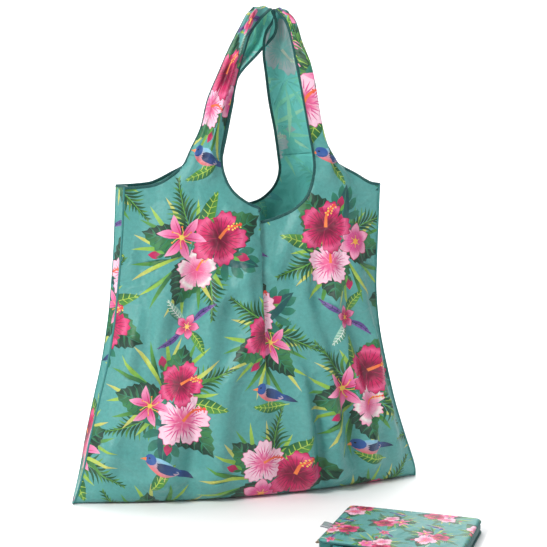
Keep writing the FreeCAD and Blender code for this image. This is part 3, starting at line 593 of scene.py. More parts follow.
def lily(turn=0.0):
    art = Art()
    for k in (0, 2, 4, 1, 3, 5):
        a = 60 * k + turn
        art.add(blade(polar(a, 0.02), polar(a, 1.12), 0.40, 0.10 if k % 2 else -0.06, 0.9, 10, 0.5), "ring",
                ["coral", "mid_pink", "pink", "blush"], (0, 0), 1.1)
        art.add(stroke([polar(a, 0.15), polar(a + 3, 0.55), polar(a + 2, 0.95)], 0.04, 0.01, 4), "flat",
                ["magenta"],
                (0, 0), 1)
    for k in range(6):
        a = 60 * k + turn + 25
        art.add(stroke([(0, 0), polar(a, 0.25), polar(a + 14, 0.46)], 0.035, 0.03, 4), "flat", ["yellow"],
                (0, 0), 1)
        art.add(disc(*polar(a + 14, 0.48), 0.05, 5), "flat", ["orange"], (0, 0), 1)
    art.add(disc(0, 0, 0.12, 7), "flat", ["yellow"], (0, 0), 1)
    return art


def serrated_leaf(dark="dark_green", light="leaf", rib="sea_leaf", teeth=8):
    """A broad toothed leaf of unit length along +v from its stalk."""
    art = Art()
    left, right = [], []
    for j in range(teeth * 2 + 1):
        t = j / (teeth * 2)
        half = 0.37 * math.sin(math.pi * t ** 0.66) ** 0.8
        bite = 0.05 * (1 - t) + 0.012 if j % 2 else 0.0
        drop = 0.035 if j % 2 else 0
        left.append((min(-half + bite, 0), t - drop))
        right.append((max(half - bite, 0), t - drop))
    art.add(left + right[1:-1][::-1], "run", [dark, light, dark], (-0.34, 0), (0.30, 0.2))
    art.add([(0, 0)] + right[1:-1] + [(0, 0.97)], "run", [light, dark, dark], (0, 0), (0.36, 0.1))
    art.add(stroke([(0, -0.12), (0.01, 0.4), (0, 0.93)], 0.032, 0.008, 6), "flat", [rib], (0, 0), 1)
    for j in range(6):
        t = 0.08 + 0.125 * j
        reach = 0.31 * math.sin(math.pi * (t + 0.1) ** 0.66)
        for side in (-1, 1):
            tip = (side * reach, t + 0.17)
            art.add(blade((0, t), (side * reach * 0.92, t + 0.1), 0.05, 0.08 * side, 0.8, 5), "run",
                    [light, dark], (0, t),
                    np.array(tip))
            art.add(stroke([(0, t), (side * reach * 0.6, t + 0.07), tip], 0.016, 0.006, 3), "flat", [rib],
                    (0, 0), 1)
    return art


def palm_frond(dark="deep_green", light="leaf", pairs=12):
    """A feathery frond of unit length along +v with a curved stem and long thin leaflets."""
    art = Art()
    stem = curve_through([(0, 0), (0.05, 0.5), (0.2, 1.0)], 0.05)
    run = arclength(stem)
    for j in range(pairs):
        t = 0.06 + 0.92 * j / (pairs - 1)
        at = np.array([np.interp(t * run[-1], run, stem[:, k]) for k in (0, 1)])
        reach = 0.52 * (1 - 0.66 * t) * (0.72 + 0.28 * math.sin(math.pi * min(1, t * 1.6)))
        lean = 34 + 36 * t
        for side in (-1, 1):
            angle = 90 - side * (90 - lean) - 6
            tip = at + polar(angle, reach)
            art.add(blade(at, tip, 0.046 * (1.15 - 0.4 * t), 0.13 * side, 0.75, 7, 0.4), "run",
                    [dark, light if (j + (side > 0)) % 3 else "fresh"], at, tip)
    art.add(stroke([(0, -0.15), (0, 0), (0.05, 0.5), (0.2, 1.0)], 0.026, 0.01, 9), "flat", ["fresh"],
            (0, 0), 1)
    return art


def fan_palm(blades=17, sweep=250):
    """Thin split leaflets fanned round a stalk, light and dark by turns."""
    art = Art()
    for j in range(blades):
        k = j / (blades - 1) - 0.5
        a = 90 + sweep * k
        reach = 1.12 - 0.35 * abs(k) + 0.09 * math.sin(7 * j)
        colours = (["leaf", "fresh", "lime"], ["deep_green", "leaf", "fresh"],
                   ["leaf", "lime", "khaki"])[j % 3]
        art.add(blade((0, 0), polar(a, reach), 0.075, 0.05 * (1 if j % 2 else -1), 0.75, 7, 0.6), "ring",
                colours,
                (0, 0), reach)
    return art


def monstera(dark="deep_sea", light="sea_leaf"):
    art = Art()
    for side in (-1, 1):
        for j in range(6):
            a0 = 90 - side * (14 + 27 * j)
            reach = 1.0 - 0.05 * j
            root = np.array([0, 0.62 - 0.12 * j])
            tip = root + polar(a0, reach * (0.42 + 0.06 * min(j, 3)))
            art.add(blade(root, tip, 0.17, -0.08 * side, 0.7, 8, 0.6), "run", [dark, light], root, tip)
    art.add(blade((0, -0.05), (0, 1.05), 0.30, 0.0, 0.8, 10, 0.45), "flat", [dark], (0, 0), 1)
    art.add(stroke([(0, -0.2), (0.0, 0.4), (0, 0.95)], 0.035, 0.012, 6), "flat", [light], (0, 0), 1)
    return art


def long_leaf(dark, light, rib, width=0.26, bend=0.08, stripes=0):
    art = Art()
    art.add(blade((0, 0), (0, 1), width, bend, 0.85, 12, 0.45), "run", [dark, light], (-width / 2, 0),
            (width / 2, 0))
    art.add(stroke([(0, -0.08), (-bend, 0.5), (0, 0.96)], 0.028, 0.008, 6), "flat", [rib], (0, 0), 1)
    for j in range(stripes):
        t = 0.12 + 0.76 * j / max(stripes - 1, 1)
        reach = width * 0.4 * math.sin(math.pi * t)
        x = -bend * math.sin(math.pi * t)
        for side in (-1, 1):
            art.add(stroke([(x, t), (x + side * reach, t + 0.07)], 0.02, 0.01, 3), "flat", [rib], (0, 0), 1)
    return art


def bud(colour="magenta"):
    art = Art()
    art.add(stroke([(0, 0), (0.06, 0.4), (0.0, 0.7)], 0.07, 0.05, 5), "flat", ["leaf"], (0, 0), 1)
    art.add(blade((0, 0.55), (0.02, 1.1), 0.3, 0.04, 0.9, 8, 0.5), "run", ["wine", colour], (0, 0.5),
            np.array((0, 1.1)))
    art.add(blade((0, 0.5), (-0.12, 0.82), 0.12, 0.05, 0.9, 6), "flat", ["leaf"], (0, 0), 1)
    art.add(blade((0, 0.5), (0.13, 0.8), 0.12, -0.05, 0.9, 6), "flat", ["fresh"], (0, 0), 1)
    return art


def plain_bird():
    """A plain small bird side on, one unit from beak to tail, its feet at the origin."""
    art = Art()
    art.add(blade((0.10, 0.20), (0.58, 0.02), 0.13, 0.03, 0.8, 8), "run", ["blue", "night"], (0.1, 0.2),
            np.array((0.58, 0.02)))
    for x in (-0.04, 0.05):
        art.add(stroke([(x, 0.10), (x - 0.02, 0.0)], 0.018, 0.014, 2), "flat", ["khaki"], (0, 0), 1)
    art.add(blade((-0.38, 0.34), (0.30, 0.12), 0.34, 0.04, 0.85, 12, 0.48), "run", ["coral", "sky"],
            (-0.1, 0.06),
            np.array((0.02, 0.34)))
    art.add(disc(-0.26, 0.36, 0.115, 12), "flat", ["blue"], (0, 0), 1)
    art.add([(-0.35, 0.39), (-0.47, 0.35), (-0.35, 0.32)], "flat", ["orange"], (0, 0), 1)
    art.add(disc(-0.29, 0.38, 0.020, 6), "flat", ["black"], (0, 0), 1)
    for j in range(3):
        art.add(blade((-0.14, 0.32 - 0.04 * j), (0.34 - 0.06 * j, 0.16 - 0.03 * j), 0.12, 0.06, 0.8, 8,
                      0.4), "run",
                ["night", "blue"], (-0.14, 0.3), np.array((0.34, 0.14)))
    return art


MOTIFS = {
    "magenta": lambda s: hibiscus("rose", "magenta", "deep_magenta", "wine", s),
    "striped": lambda s: hibiscus("pale", "pale", "rose", "mid_pink", s, 12, True, "coral"),
    "pale": lambda s: hibiscus("white", "blush", "rose", "pink", s, 24),
    "pink": lambda s: star_flower("blush", "mid_pink", "magenta", 6, s),
    "small_pink": lambda s: star_flower("pink", "magenta", "wine", 5, s),
    "lily": lambda s: lily(s),
    "serrated": lambda s: serrated_leaf("dark_green", "mid_leaf", "sea_leaf"),
    "fresh_leaf": lambda s: long_leaf("leaf", "fresh", "lime", 0.30, 0.06, 7),
    "mint_leaf": lambda s: long_leaf("sea_leaf", "mint", "white", 0.30, 0.06, 8),
    "purple_leaf": lambda s: long_leaf("purple", "violet", "night", 0.20, 0.08, 5),
    "palm": lambda s: palm_frond(),
    "fan": lambda s: fan_palm(),
    "monstera": lambda s: monstera(),
    "bud": lambda s: bud(),
    "bird": lambda s: plain_bird(),
}

# The print is a half-drop repeat. Posies stand on a grid, each column half a step lower than the last,
# with a sprig or a bird in the gap above each posy.
REPEAT_ACROSS = 124
REPEAT_DOWN = 180
COLUMN_TURN = 47
ROW_TURN = 76
POSY_LEAVES = ("palm", "serrated", "fan", "serrated", "palm", "monstera", "serrated", "fresh_leaf")
POSY_FLOWERS = (("magenta", "striped", "pink"), ("magenta", "lily", "pale"), ("striped", "magenta", "lily"))
FLOWER_REACH = (31, 26, 23)
UNDER_FLOWERS = {"fan": 0, "palm": 0, "monstera": 1, "serrated": 2, "fresh_leaf": 2, "mint_leaf": 2,
                 "purple_leaf": 2,
                 "bud": 3, "bird": 4}
OUTLINE_SLACK = 0.28


def posy(turn, number):
    """Leaves fanned all round, two buds, and three flowers set at even angles on top."""
    rows = []
    for k, kind in enumerate(POSY_LEAVES):
        lean = turn + 360 / len(POSY_LEAVES) * k
        rows.append((kind, *polar(90 + lean, 12), 58 if k % 2 else 68, lean))
    for k in (0, 1):
        lean = turn + 70 + 160 * k
        rows.append(("bud", *polar(90 + lean, 24), 32, lean))
    for k, kind in enumerate(POSY_FLOWERS[number % len(POSY_FLOWERS)]):
        rows.append((kind, *polar(turn + 120 * k, 25), FLOWER_REACH[k], 0))
    return rows


def sprig(turn):
    """Four slim leaves round one small flower."""
    rows = []
    for k, kind in enumerate(("purple_leaf", "mint_leaf", "purple_leaf", "fresh_leaf")):
        lean = turn + 90 * k
        rows.append((kind, *polar(90 + lean, 6), 36, lean))
    return rows + [("small_pink", 0, 0, 15, 0)]


def bird_on_leaf(turn):
    return [("fresh_leaf", *polar(turn, 20), 44, turn + 90), ("bird", 0, 0, 58, 0)]


def eased_outline(points, slack):
    """The same closed outline without the points that hardly bend it."""
    ring = np.vstack([points, points[:1]])
    far = int(np.argmax(((points - points[0]) ** 2).sum(1)))
    keep = np.zeros(len(points), bool)
    keep[[0, far]] = True
    spans = [(0, far), (far, len(points))]
    while spans:
        first, last = spans.pop()
        if last - first < 2:
            continue
        along = ring[last] - ring[first]
        off = ring[first + 1:last] - ring[first]
        gap = np.abs(along[0] * off[:, 1] - along[1] * off[:, 0]) / max(np.linalg.norm(along), 1e-9)
        k = first + 1 + int(np.argmax(gap))
        if gap.max() > slack:
            keep[k] = True
            spans += [(first, k), (k, last)]
    return points[keep]


def lay_print(table):
    art = Art()
    for k, (kind, u, v, size, turn) in enumerate(table):
        art.merge(MOTIFS[kind](17 * (k % 5)), u, v, size, turn)
    eased = [(eased_outline(shape[0], OUTLINE_SLACK),) + shape[1:] for shape in art.shapes]
    art.shapes = [shape for shape in eased if len(shape[0]) > 2]
    return art


def repeat_print(u0, u1, v0, v1, shift=(0, 0), size=1.0, turn=0.0):
    """The half-drop repeat laid over a whole flat area."""
    table = []
    c, s = math.cos(math.radians(turn)), math.sin(math.radians(turn))
    columns = int(900 / size / REPEAT_ACROSS / 2)
    lines = int(1400 / size / REPEAT_DOWN / 2)
    for i in range(-columns, columns + 1):
        for j in range(-lines, lines + 1):
            spin = COLUMN_TURN * i + ROW_TURN * j
            low = REPEAT_DOWN * (j + 0.5 * (i % 2))
            gap_rows = sprig(spin) if (i + j) % 2 else bird_on_leaf(spin)
            placed = [(row, low) for row in posy(spin, i + 2 * j)]
            placed += [(row, low + REPEAT_DOWN / 2) for row in gap_rows]
            for (kind, u, v, reach, lean), base in placed:
                x, y = (u + REPEAT_ACROSS * i) * size, (v + base) * size
                x, y = x * c - y * s + shift[0], x * s + y * c + shift[1]
                r = reach * size
                if u0 - r < x < u1 + r and v0 - r < y < v1 + r:
                    table.append((kind, x, y, r, lean + turn))
    table.sort(key=lambda row: (UNDER_FLOWERS.get(row[0], 5), row[1] + 1000 * row[2]))
    return lay_print(table)


# ---------------------------------------------------------------- meshes


def inside_loop(points, loop):
    """Which flat points lie inside a closed outline."""
    x, y = points[:, 0], points[:, 1]
    a = np.asarray(loop, float)
    b = np.roll(a, -1, 0)
    hit = np.zeros(len(points), bool)
    for (x0, y0), (x1, y1) in zip(a, b):
        if y0 == y1:
            continue
        crosses = ((y0 > y) != (y1 > y)) & (x < (x1 - x0) * (y - y0) / (y1 - y0) + x0)
        hit ^= crosses
    return hit


def clear_of_loop(points, loop, gap):
    a = np.asarray(loop, float)
    keep = np.ones(len(points), bool)
    for p in a:
        keep &= ((points - p) ** 2).sum(1) > gap * gap
    return keep


def split_flat(points, edges, loop):
    """Triangles of a closed flat outline that keep every given edge."""
    out = delaunay_2d_cdt([Vector(p) for p in points], edges, [], 0, 1e-4, False)
    verts = np.array([tuple(p) for p in out[0]])
    tris = np.array([f for f in out[2] if len(f) == 3])
    corners = verts[tris]
    area = np.abs(np.cross(corners[:, 1] - corners[:, 0], corners[:, 2] - corners[:, 0])) / 2
    good = inside_loop(corners.mean(1), loop) & (area > 1e-7)
    return verts, tris[good]


def shape_on_top(middle, kept):
    """The number of the last shape over each place, or 0 for bare cloth."""
    order = np.argsort(middle[:, 0], kind="stable")
    across = middle[order, 0]
    tops = np.zeros(len(middle), int)
    for k, shape in enumerate(kept, start=1):
        p = shape[0]
        first, last = np.searchsorted(across, (p[:, 0].min(), p[:, 0].max()))
        near = order[first:last]
        near = near[(middle[near, 1] >= p[:, 1].min()) & (middle[near, 1] <= p[:, 1].max())]
        if len(near):
            tops[near[inside_loop(middle[near], p)]] = k
    return tops


def seen_edges(tris, tops):
    """The edges where the shape on top changes. Edges buried under a later shape are left out."""
    sides = np.sort(np.concatenate([tris[:, [0, 1]], tris[:, [1, 2]], tris[:, [2, 0]]]), axis=1)
    owner = np.tile(tops, 3)
    order = np.lexsort((sides[:, 1], sides[:, 0]))
    sides, owner = sides[order], owner[order]
    twin = (sides[1:] == sides[:-1]).all(1)
    return sides[:-1][twin & (owner[1:] != owner[:-1])]


def cut_cloth(loop, art, spacing):
    """Triangles of a flat cut, with every visible print edge a mesh edge, and the shape on top of each."""
    loop = np.asarray(loop, float)
    low, high = loop.min(0), loop.max(0)
    cols = np.arange(low[0], high[0], spacing)
    rows = np.arange(low[1], high[1], spacing * 0.866)
    grid = np.array([(x + (spacing / 2 if j % 2 else 0), y) for j, y in enumerate(rows) for x in cols])
    grid = grid[inside_loop(grid, loop)]
    grid = grid[clear_of_loop(grid, loop, spacing * 0.5)]
    border = [(i, (i + 1) % len(loop)) for i in range(len(loop))]
    points, edges, kept = [tuple(p) for p in loop], list(border), []
    for shape in (art.shapes if art else []):
        p = shape[0]
        if (p.max(0) < low).any() or (p.min(0) > high).any():
            continue
        base = len(points)
        edges += [(base + i, base + (i + 1) % len(p)) for i in range(len(p))]
        points += [tuple(q) for q in p]
        kept.append(shape)
    if kept:
        verts, tris = split_flat(points, edges, loop)
        seen = seen_edges(tris, shape_on_top(verts[tris].mean(1), kept))
        used, index = np.unique(seen, return_inverse=True)
        base = len(loop)
        points = [tuple(p) for p in loop] + [tuple(p) for p in verts[used]]
        edges = border + [tuple(int(i) + base for i in e) for e in index.reshape(-1, 2)]
    points += [tuple(p) for p in grid]
    verts, tris = split_flat(points, edges, loop)
    tops = shape_on_top(verts[tris].mean(1), kept)
    used = np.unique(tris)
    index = np.zeros(len(verts), int)
    index[used] = np.arange(len(used))
    return verts[used], index[tris], tops, kept


def new_mesh_object(name, verts, faces):
    mesh = bpy.data.meshes.new(name)
    mesh.from_pydata([tuple(v) for v in verts], [], [tuple(int(i) for i in f) for f in faces])
    mesh.update()
    obj = bpy.data.objects.new(name, mesh)
    bpy.context.scene.collection.objects.link(obj)
    return obj


def smooth_faces(obj):
    obj.data.polygons.foreach_set("use_smooth", [True] * len(obj.data.polygons))


def cloth_object(name, parts, thickness=0.28):
    """Printed cloth from (loop, art, spacing, position, normal) parts, in one mesh.

    Each corner carries its print colour, and each point its flat place, so the weave follows the cut."""
    verts, faces, colours, flats = [], [], [], []
    base = 0
    for loop, art, spacing, at, normal_at in parts:
        flat, tris, tops, kept = cut_cloth(loop, art, spacing)
        placed = at(flat[:, 0], flat[:, 1])
        middle = flat[tris].mean(1)
        want = normal_at(middle[:, 0], middle[:, 1])
        got = np.cross(placed[tris[:, 1]] - placed[tris[:, 0]], placed[tris[:, 2]] - placed[tris[:, 0]])
        over = (want * got).sum(1)
        if np.median(np.sign(over)) < 0:
            tris = tris[:, ::-1]
        colour = np.zeros((len(tris), 3, 3))
        colour[:] = TEAL
        for k, shape in enumerate(kept, start=1):
            rows = np.nonzero(tops == k)[0]
            if len(rows):
                corner = flat[tris[rows]].reshape(-1, 2)
                colour[rows] = paint(shape, corner).reshape(-1, 3, 3)
        verts.append(placed / 1000)
        faces.append(tris + base)
        colours.append(colour.reshape(-1, 3))
        flats.append(flat)
        base += len(flat)
    verts, faces = np.concatenate(verts), np.concatenate(faces)
    colours, flats = np.concatenate(colours), np.concatenate(flats)
    obj = new_mesh_object(name, verts, faces)
    mesh = obj.data
    layer = mesh.attributes.new("print_colour", "FLOAT_COLOR", "CORNER")
    layer.data.foreach_set("color", np.concatenate([colours, np.ones((len(colours), 1))],
                                                   1).astype("f").ravel())
    place = mesh.attributes.new("flat_place", "FLOAT_VECTOR", "POINT")
    place.data.foreach_set("vector", np.concatenate([flats / 1000, np.zeros((len(flats), 1))],
                                                    1).astype("f").ravel())
    smooth_faces(obj)
    obj.data.materials.append(MAT["cloth"])
    obj.data.materials.append(MAT["cloth_back"])
    solid = obj.modifiers.new("thickness", "SOLIDIFY")
    solid.thickness = thickness / 1000
    solid.offset = -1
    solid.use_rim = True
    solid.material_offset = 1
    solid.material_offset_rim = 0
    settle(obj)
    return obj


def settle(obj):
    """Applies an object's modifiers to its mesh."""
    depsgraph = bpy.context.evaluated_depsgraph_get()
    mesh = bpy.data.meshes.new_from_object(obj.evaluated_get(depsgraph))
    mesh.name = obj.name
    obj.modifiers.clear()
    obj.data = mesh


def band_object(name, runs, material, reach=2.9, wall=0.5, lip=0.5):
    """Bindings folded over cloth edges. Each run is (flat points, flat inward, position, normal)."""
    profile = [(reach, wall), (reach * 0.5, wall + 0.12), (0.2, wall + 0.1), (-lip * 0.8, wall * 0.6),
               (-lip, 0),
               (-lip * 0.8, -wall * 0.6), (0.2, -wall - 0.1), (reach * 0.5, -wall - 0.12), (reach, -wall),
               (reach + 0.15, 0)]
    verts, faces, flats = [], [], []
    base = 0
    count = len(profile)
    for flat, inward, at, normal_at in runs:
        flat, inward = np.asarray(flat, float), np.asarray(inward, float)
        edge = at(flat[:, 0], flat[:, 1])
        near = at(flat[:, 0] + inward[:, 0] * 1.5, flat[:, 1] + inward[:, 1] * 1.5)
        normal = normal_at(flat[:, 0] + inward[:, 0] * 0.8, flat[:, 1] + inward[:, 1] * 0.8)
        along = np.gradient(edge, axis=0)
        along /= np.maximum(np.linalg.norm(along, axis=1, keepdims=True), 1e-9)
        into = near - edge
        into -= (into * along).sum(1, keepdims=True) * along
        into /= np.maximum(np.linalg.norm(into, axis=1, keepdims=True), 1e-9)
        normal = normal - (normal * along).sum(1, keepdims=True) * along
        normal -= (normal * into).sum(1, keepdims=True) * into
        normal /= np.maximum(np.linalg.norm(normal, axis=1, keepdims=True), 1e-9)
        run = arclength(edge)
        for i in range(len(edge)):
            swell = 0.06 * math.sin(run[i] * 2.1) + 0.05 * math.sin(run[i] * 0.7 + 1)
            for j, (d, h) in enumerate(profile):
                verts.append(edge[i] + into[i] * d + normal[i] * (h - 0.14 + swell * np.sign(h)))
                flats.append((run[i], d if h >= 0 else -d))
        sense = float(np.sign((np.cross(along, into) * normal).sum(1).mean()))
        for i in range(len(edge) - 1):
            for j in range(count):
                k = (j + 1) % count
                quad = [base + i * count + j, base + i * count + k, base + (i + 1) * count + k,
                        base + (i + 1) * count + j]
                faces.append(quad if sense > 0 else quad[::-1])
        ends = [base + j for j in range(count)], [base + (len(edge) - 1) * count + j for j in range(count)]
        faces.append(ends[0][::-1] if sense > 0 else ends[0])
        faces.append(ends[1] if sense > 0 else ends[1][::-1])
        base += len(edge) * count
    verts = np.array(verts)
    verts[:, 2] = np.maximum(verts[:, 2], 0.05)
    obj = new_mesh_object(name, verts / 1000, faces)
    place = obj.data.attributes.new("flat_place", "FLOAT_VECTOR", "POINT")
    flats = np.array(flats)
    place.data.foreach_set("vector", np.concatenate([flats / 1000, np.zeros((len(flats), 1))],
                                                    1).astype("f").ravel())
    smooth_faces(obj)
    obj.data.materials.append(material)
    return obj


# ---------------------------------------------------------------- materials


def add_node(tree, kind, x=0, y=0, **settings):
    node = tree.nodes.new(kind)
    node.location = (x, y)
    for key, value in settings.items():
        setattr(node, key, value)
    return node


def group(name, ins, outs):
    tree = bpy.data.node_groups.new(name, "ShaderNodeTree")
    for label, kind, value in ins:
        socket = tree.interface.new_socket(label, in_out="INPUT", socket_type=kind)
        if value is not None:
            socket.default_value = value
    for label, kind in outs:
        tree.interface.new_socket(label, in_out="OUTPUT", socket_type=kind)
    return tree, add_node(tree, "NodeGroupInput", -900), add_node(tree, "NodeGroupOutput", 700)


def maths(tree, operation, a, b=None, x=0, y=0):
    node = add_node(tree, "ShaderNodeMath", x, y, operation=operation)
    for socket, value in zip(node.inputs, (a, b)):
        if value is None:
            continue
        if isinstance(value, (int, float)):
            socket.default_value = value
        else:
            tree.links.new(value, socket)
    return node.outputs[0]


def make_weave_group():
    """Plain weave: crossed thread waves over a flat place, with slubs."""
    tree, gin, gout = group("plain_weave",
                            [("Place", "NodeSocketVector", None),
                             ("Threads per metre", "NodeSocketFloat", 1800.0),
                             ("Slub", "NodeSocketFloat", 0.35)],
                            [("Height", "NodeSocketFloat"), ("Shade", "NodeSocketFloat")])
    link = tree.links.new
    split = add_node(tree, "ShaderNodeSeparateXYZ", -700, 100)
    link(gin.outputs["Place"], split.inputs[0])
    turns = maths(tree, "MULTIPLY", gin.outputs["Threads per metre"], 6.2832, -700, -100)
    warp = maths(tree, "SINE", maths(tree, "MULTIPLY", split.outputs[0], turns, -500, 200), None, -350, 200)
    weft = maths(tree, "SINE", maths(tree, "MULTIPLY", split.outputs[1], turns, -500, 0), None, -350, 0)
    cross = maths(tree, "MULTIPLY", warp, weft, -200, 100)
    noise = add_node(tree, "ShaderNodeTexNoise", -500, -300)
    noise.inputs["Scale"].default_value = 420.0
    noise.inputs["Detail"].default_value = 3.0
    link(gin.outputs["Place"], noise.inputs["Vector"])
    slub = maths(tree, "MULTIPLY", noise.outputs[0], gin.outputs["Slub"], -200, -200)
    height = maths(tree, "ADD", maths(tree, "MULTIPLY", cross, 0.5, 0, 100), slub, 150, 0)
    link(height, gout.inputs["Height"])
    link(maths(tree, "ADD", maths(tree, "MULTIPLY", height, 0.12, 300, -100), 0.92, 450, -100),
         gout.inputs["Shade"])
    return tree


def make_crinkle_group():
    """Soft creases left by folding the cloth small: height for bump, and a faded mask along them."""
    tree, gin, gout = group("folded_crinkle",
                            [("Place", "NodeSocketVector", None), ("Scale", "NodeSocketFloat", 26.0),
                             ("Sharpness", "NodeSocketFloat", 0.5)],
                            [("Height", "NodeSocketFloat"), ("Faded", "NodeSocketFloat")])
    link = tree.links.new
    warp = add_node(tree, "ShaderNodeTexNoise", -700, 200)
    warp.inputs["Scale"].default_value = 14.0
    warp.inputs["Detail"].default_value = 2.0
    link(gin.outputs["Place"], warp.inputs["Vector"])
    shift = add_node(tree, "ShaderNodeVectorMath", -500, 200, operation="SCALE")
    shift.inputs["Scale"].default_value = 0.05
    link(warp.outputs["Color"], shift.inputs[0])
    moved = add_node(tree, "ShaderNodeVectorMath", -350, 200, operation="ADD")
    link(gin.outputs["Place"], moved.inputs[0])
    link(shift.outputs[0], moved.inputs[1])
    big = add_node(tree, "ShaderNodeTexNoise", -150, 250)
    link(moved.outputs[0], big.inputs["Vector"])
    link(gin.outputs["Scale"], big.inputs["Scale"])
    big.inputs["Detail"].default_value = 4.0
    big.inputs["Roughness"].default_value = 0.45
    ridge_at = maths(tree, "ABSOLUTE", maths(tree, "SUBTRACT", big.outputs[0], 0.5, 50, 250), None, 200, 250)
    crease = maths(tree, "SUBTRACT", 1.0, maths(tree, "MULTIPLY", ridge_at, 9.0, 300, 200), 400, 200)
    crease = maths(tree, "MAXIMUM", crease, 0.0, 450, 150)
    sharp = maths(tree, "MULTIPLY", crease, gin.outputs["Sharpness"], 500, 100)
    link(maths(tree, "ADD", big.outputs[0], sharp, 550, 50), gout.inputs["Height"])
    link(maths(tree, "POWER", crease, 3.0, 550, -100), gout.inputs["Faded"])
    return tree


def material(name):
    mat = bpy.data.materials.new(name)
    mat.use_nodes = True
    tree = mat.node_tree
    tree.nodes.clear()
    out = add_node(tree, "ShaderNodeOutputMaterial", 900, 0)
    surface = add_node(tree, "ShaderNodeBsdfPrincipled", 600, 0)
    tree.links.new(surface.outputs[0], out.inputs[0])
    return mat, tree, surface


def place_source(tree, own=True):
    if own:
        node = add_node(tree, "ShaderNodeAttribute", -1100, -100, attribute_type="GEOMETRY",
                        attribute_name="flat_place")
        return node.outputs["Vector"]
    return add_node(tree, "ShaderNodeTexCoord", -1100, -100).outputs["Object"]


def colour_mix(tree, blend, factor, a, b, x=0, y=0):
    node = add_node(tree, "ShaderNodeMix", x, y, data_type="RGBA", blend_type=blend)
    for socket, value in ((node.inputs[0], factor), (node.inputs[6], a), (node.inputs[7], b)):
        if isinstance(value, (int, float)):
            socket.default_value = value
        elif isinstance(value, (tuple, list, np.ndarray)):
            socket.default_value = (*[float(c) for c in value[:3]], 1.0)
        else:
            tree.links.new(value, socket)
    return node.outputs[2]


def fabric(name, colour, wrong_side_painted_light=False, printed=True, threads=1500.0, crinkle=0.6, rough=0.5, own=True,
           crinkle_scale=26.0, bump=0.35):
    """Thin woven cloth: print or dye, weave, creases and a slight nap."""
    mat, tree, surface = material(name)
    link = tree.links.new
    place = place_source(tree, own)
    weave = add_node(tree, "ShaderNodeGroup", -700, -200)
    weave.node_tree = GROUPS["weave"]
    link(place, weave.inputs["Place"])
    weave.inputs["Threads per metre"].default_value = threads
    crinkled = add_node(tree, "ShaderNodeGroup", -700, -450)
    crinkled.node_tree = GROUPS["crinkle"]
    link(place, crinkled.inputs["Place"])
    crinkled.inputs["Scale"].default_value = crinkle_scale
    if printed:
        base = add_node(tree, "ShaderNodeAttribute", -900, 300, attribute_type="GEOMETRY",
                        attribute_name="print_colour").outputs["Color"]
        brush = add_node(tree, "ShaderNodeTexNoise", -900, 100)
        brush.inputs["Scale"].default_value = 260.0
        brush.inputs["Detail"].default_value = 5.0
        brush.inputs["Roughness"].default_value = 0.65
        link(place, brush.inputs["Vector"])
        ramp = add_node(tree, "ShaderNodeValToRGB", -700, 100)
        ramp.color_ramp.elements[0].position = 0.32
        ramp.color_ramp.elements[0].color = (0.70, 0.72, 0.74, 1)
        ramp.color_ramp.elements[1].position = 0.68
        ramp.color_ramp.elements[1].color = (1, 1, 1, 1)
        link(brush.outputs[0], ramp.inputs[0])
        base = colour_mix(tree, "MULTIPLY", 0.60, base, ramp.outputs[0], -450, 250)
    else:
        base = add_node(tree, "ShaderNodeRGB", -900, 300)
        base.outputs[0].default_value = (*[float(c) for c in colour], 1)
        base = base.outputs[0]
        dye = add_node(tree, "ShaderNodeTexNoise", -900, 100)
        dye.inputs["Scale"].default_value = 60.0
        dye.inputs["Detail"].default_value = 4.0
        link(place, dye.inputs["Vector"])
        base = colour_mix(tree, "MULTIPLY", 0.35, base, dye.outputs["Color"], -450, 250)
    # On the wrong side the print is mixed toward a bright pale teal: partly the paler reverse of the print,
    # partly painted light standing in for light passing through the thin cloth.
    if wrong_side_painted_light:
        base = colour_mix(tree, "MIX", 0.58, base, tint(118, 226, 216), -250, 250)
    faded = maths(tree, "MULTIPLY", crinkled.outputs["Faded"], 0.03, -450, -500)
    base = colour_mix(tree, "MIX", faded, base, tint(206, 232, 224), -100, 200)
    shade = add_node(tree, "ShaderNodeCombineColor", -450, -150)
    for k in range(3):
        link(weave.outputs["Shade"], shade.inputs[k])
    base = colour_mix(tree, "MULTIPLY", 1.0, base, shade.outputs[0], 100, 150)
    link(base, surface.inputs["Base Color"])
    roughness = maths(tree, "ADD", maths(tree, "MULTIPLY", crinkled.outputs["Height"], 0.12, 100, -100),
                      rough - 0.06, 300, -100)
    link(roughness, surface.inputs["Roughness"])
    surface.inputs["Specular IOR Level"].default_value = 0.42
    surface.inputs["Sheen Weight"].default_value = 0.05
    surface.inputs["Sheen Roughness"].default_value = 0.45
    coarse = add_node(tree, "ShaderNodeBump", 200, -350)
    coarse.inputs["Strength"].default_value = crinkle
    coarse.inputs["Distance"].default_value = 0.0026
    link(crinkled.outputs["Height"], coarse.inputs["Height"])
    fine = add_node(tree, "ShaderNodeBump", 400, -350)
    fine.inputs["Strength"].default_value = bump
    fine.inputs["Distance"].default_value = 0.00012
    link(weave.outputs["Height"], fine.inputs["Height"])
    link(coarse.outputs[0], fine.inputs["Normal"])
    link(fine.outputs[0], surface.inputs["Normal"])
    return mat


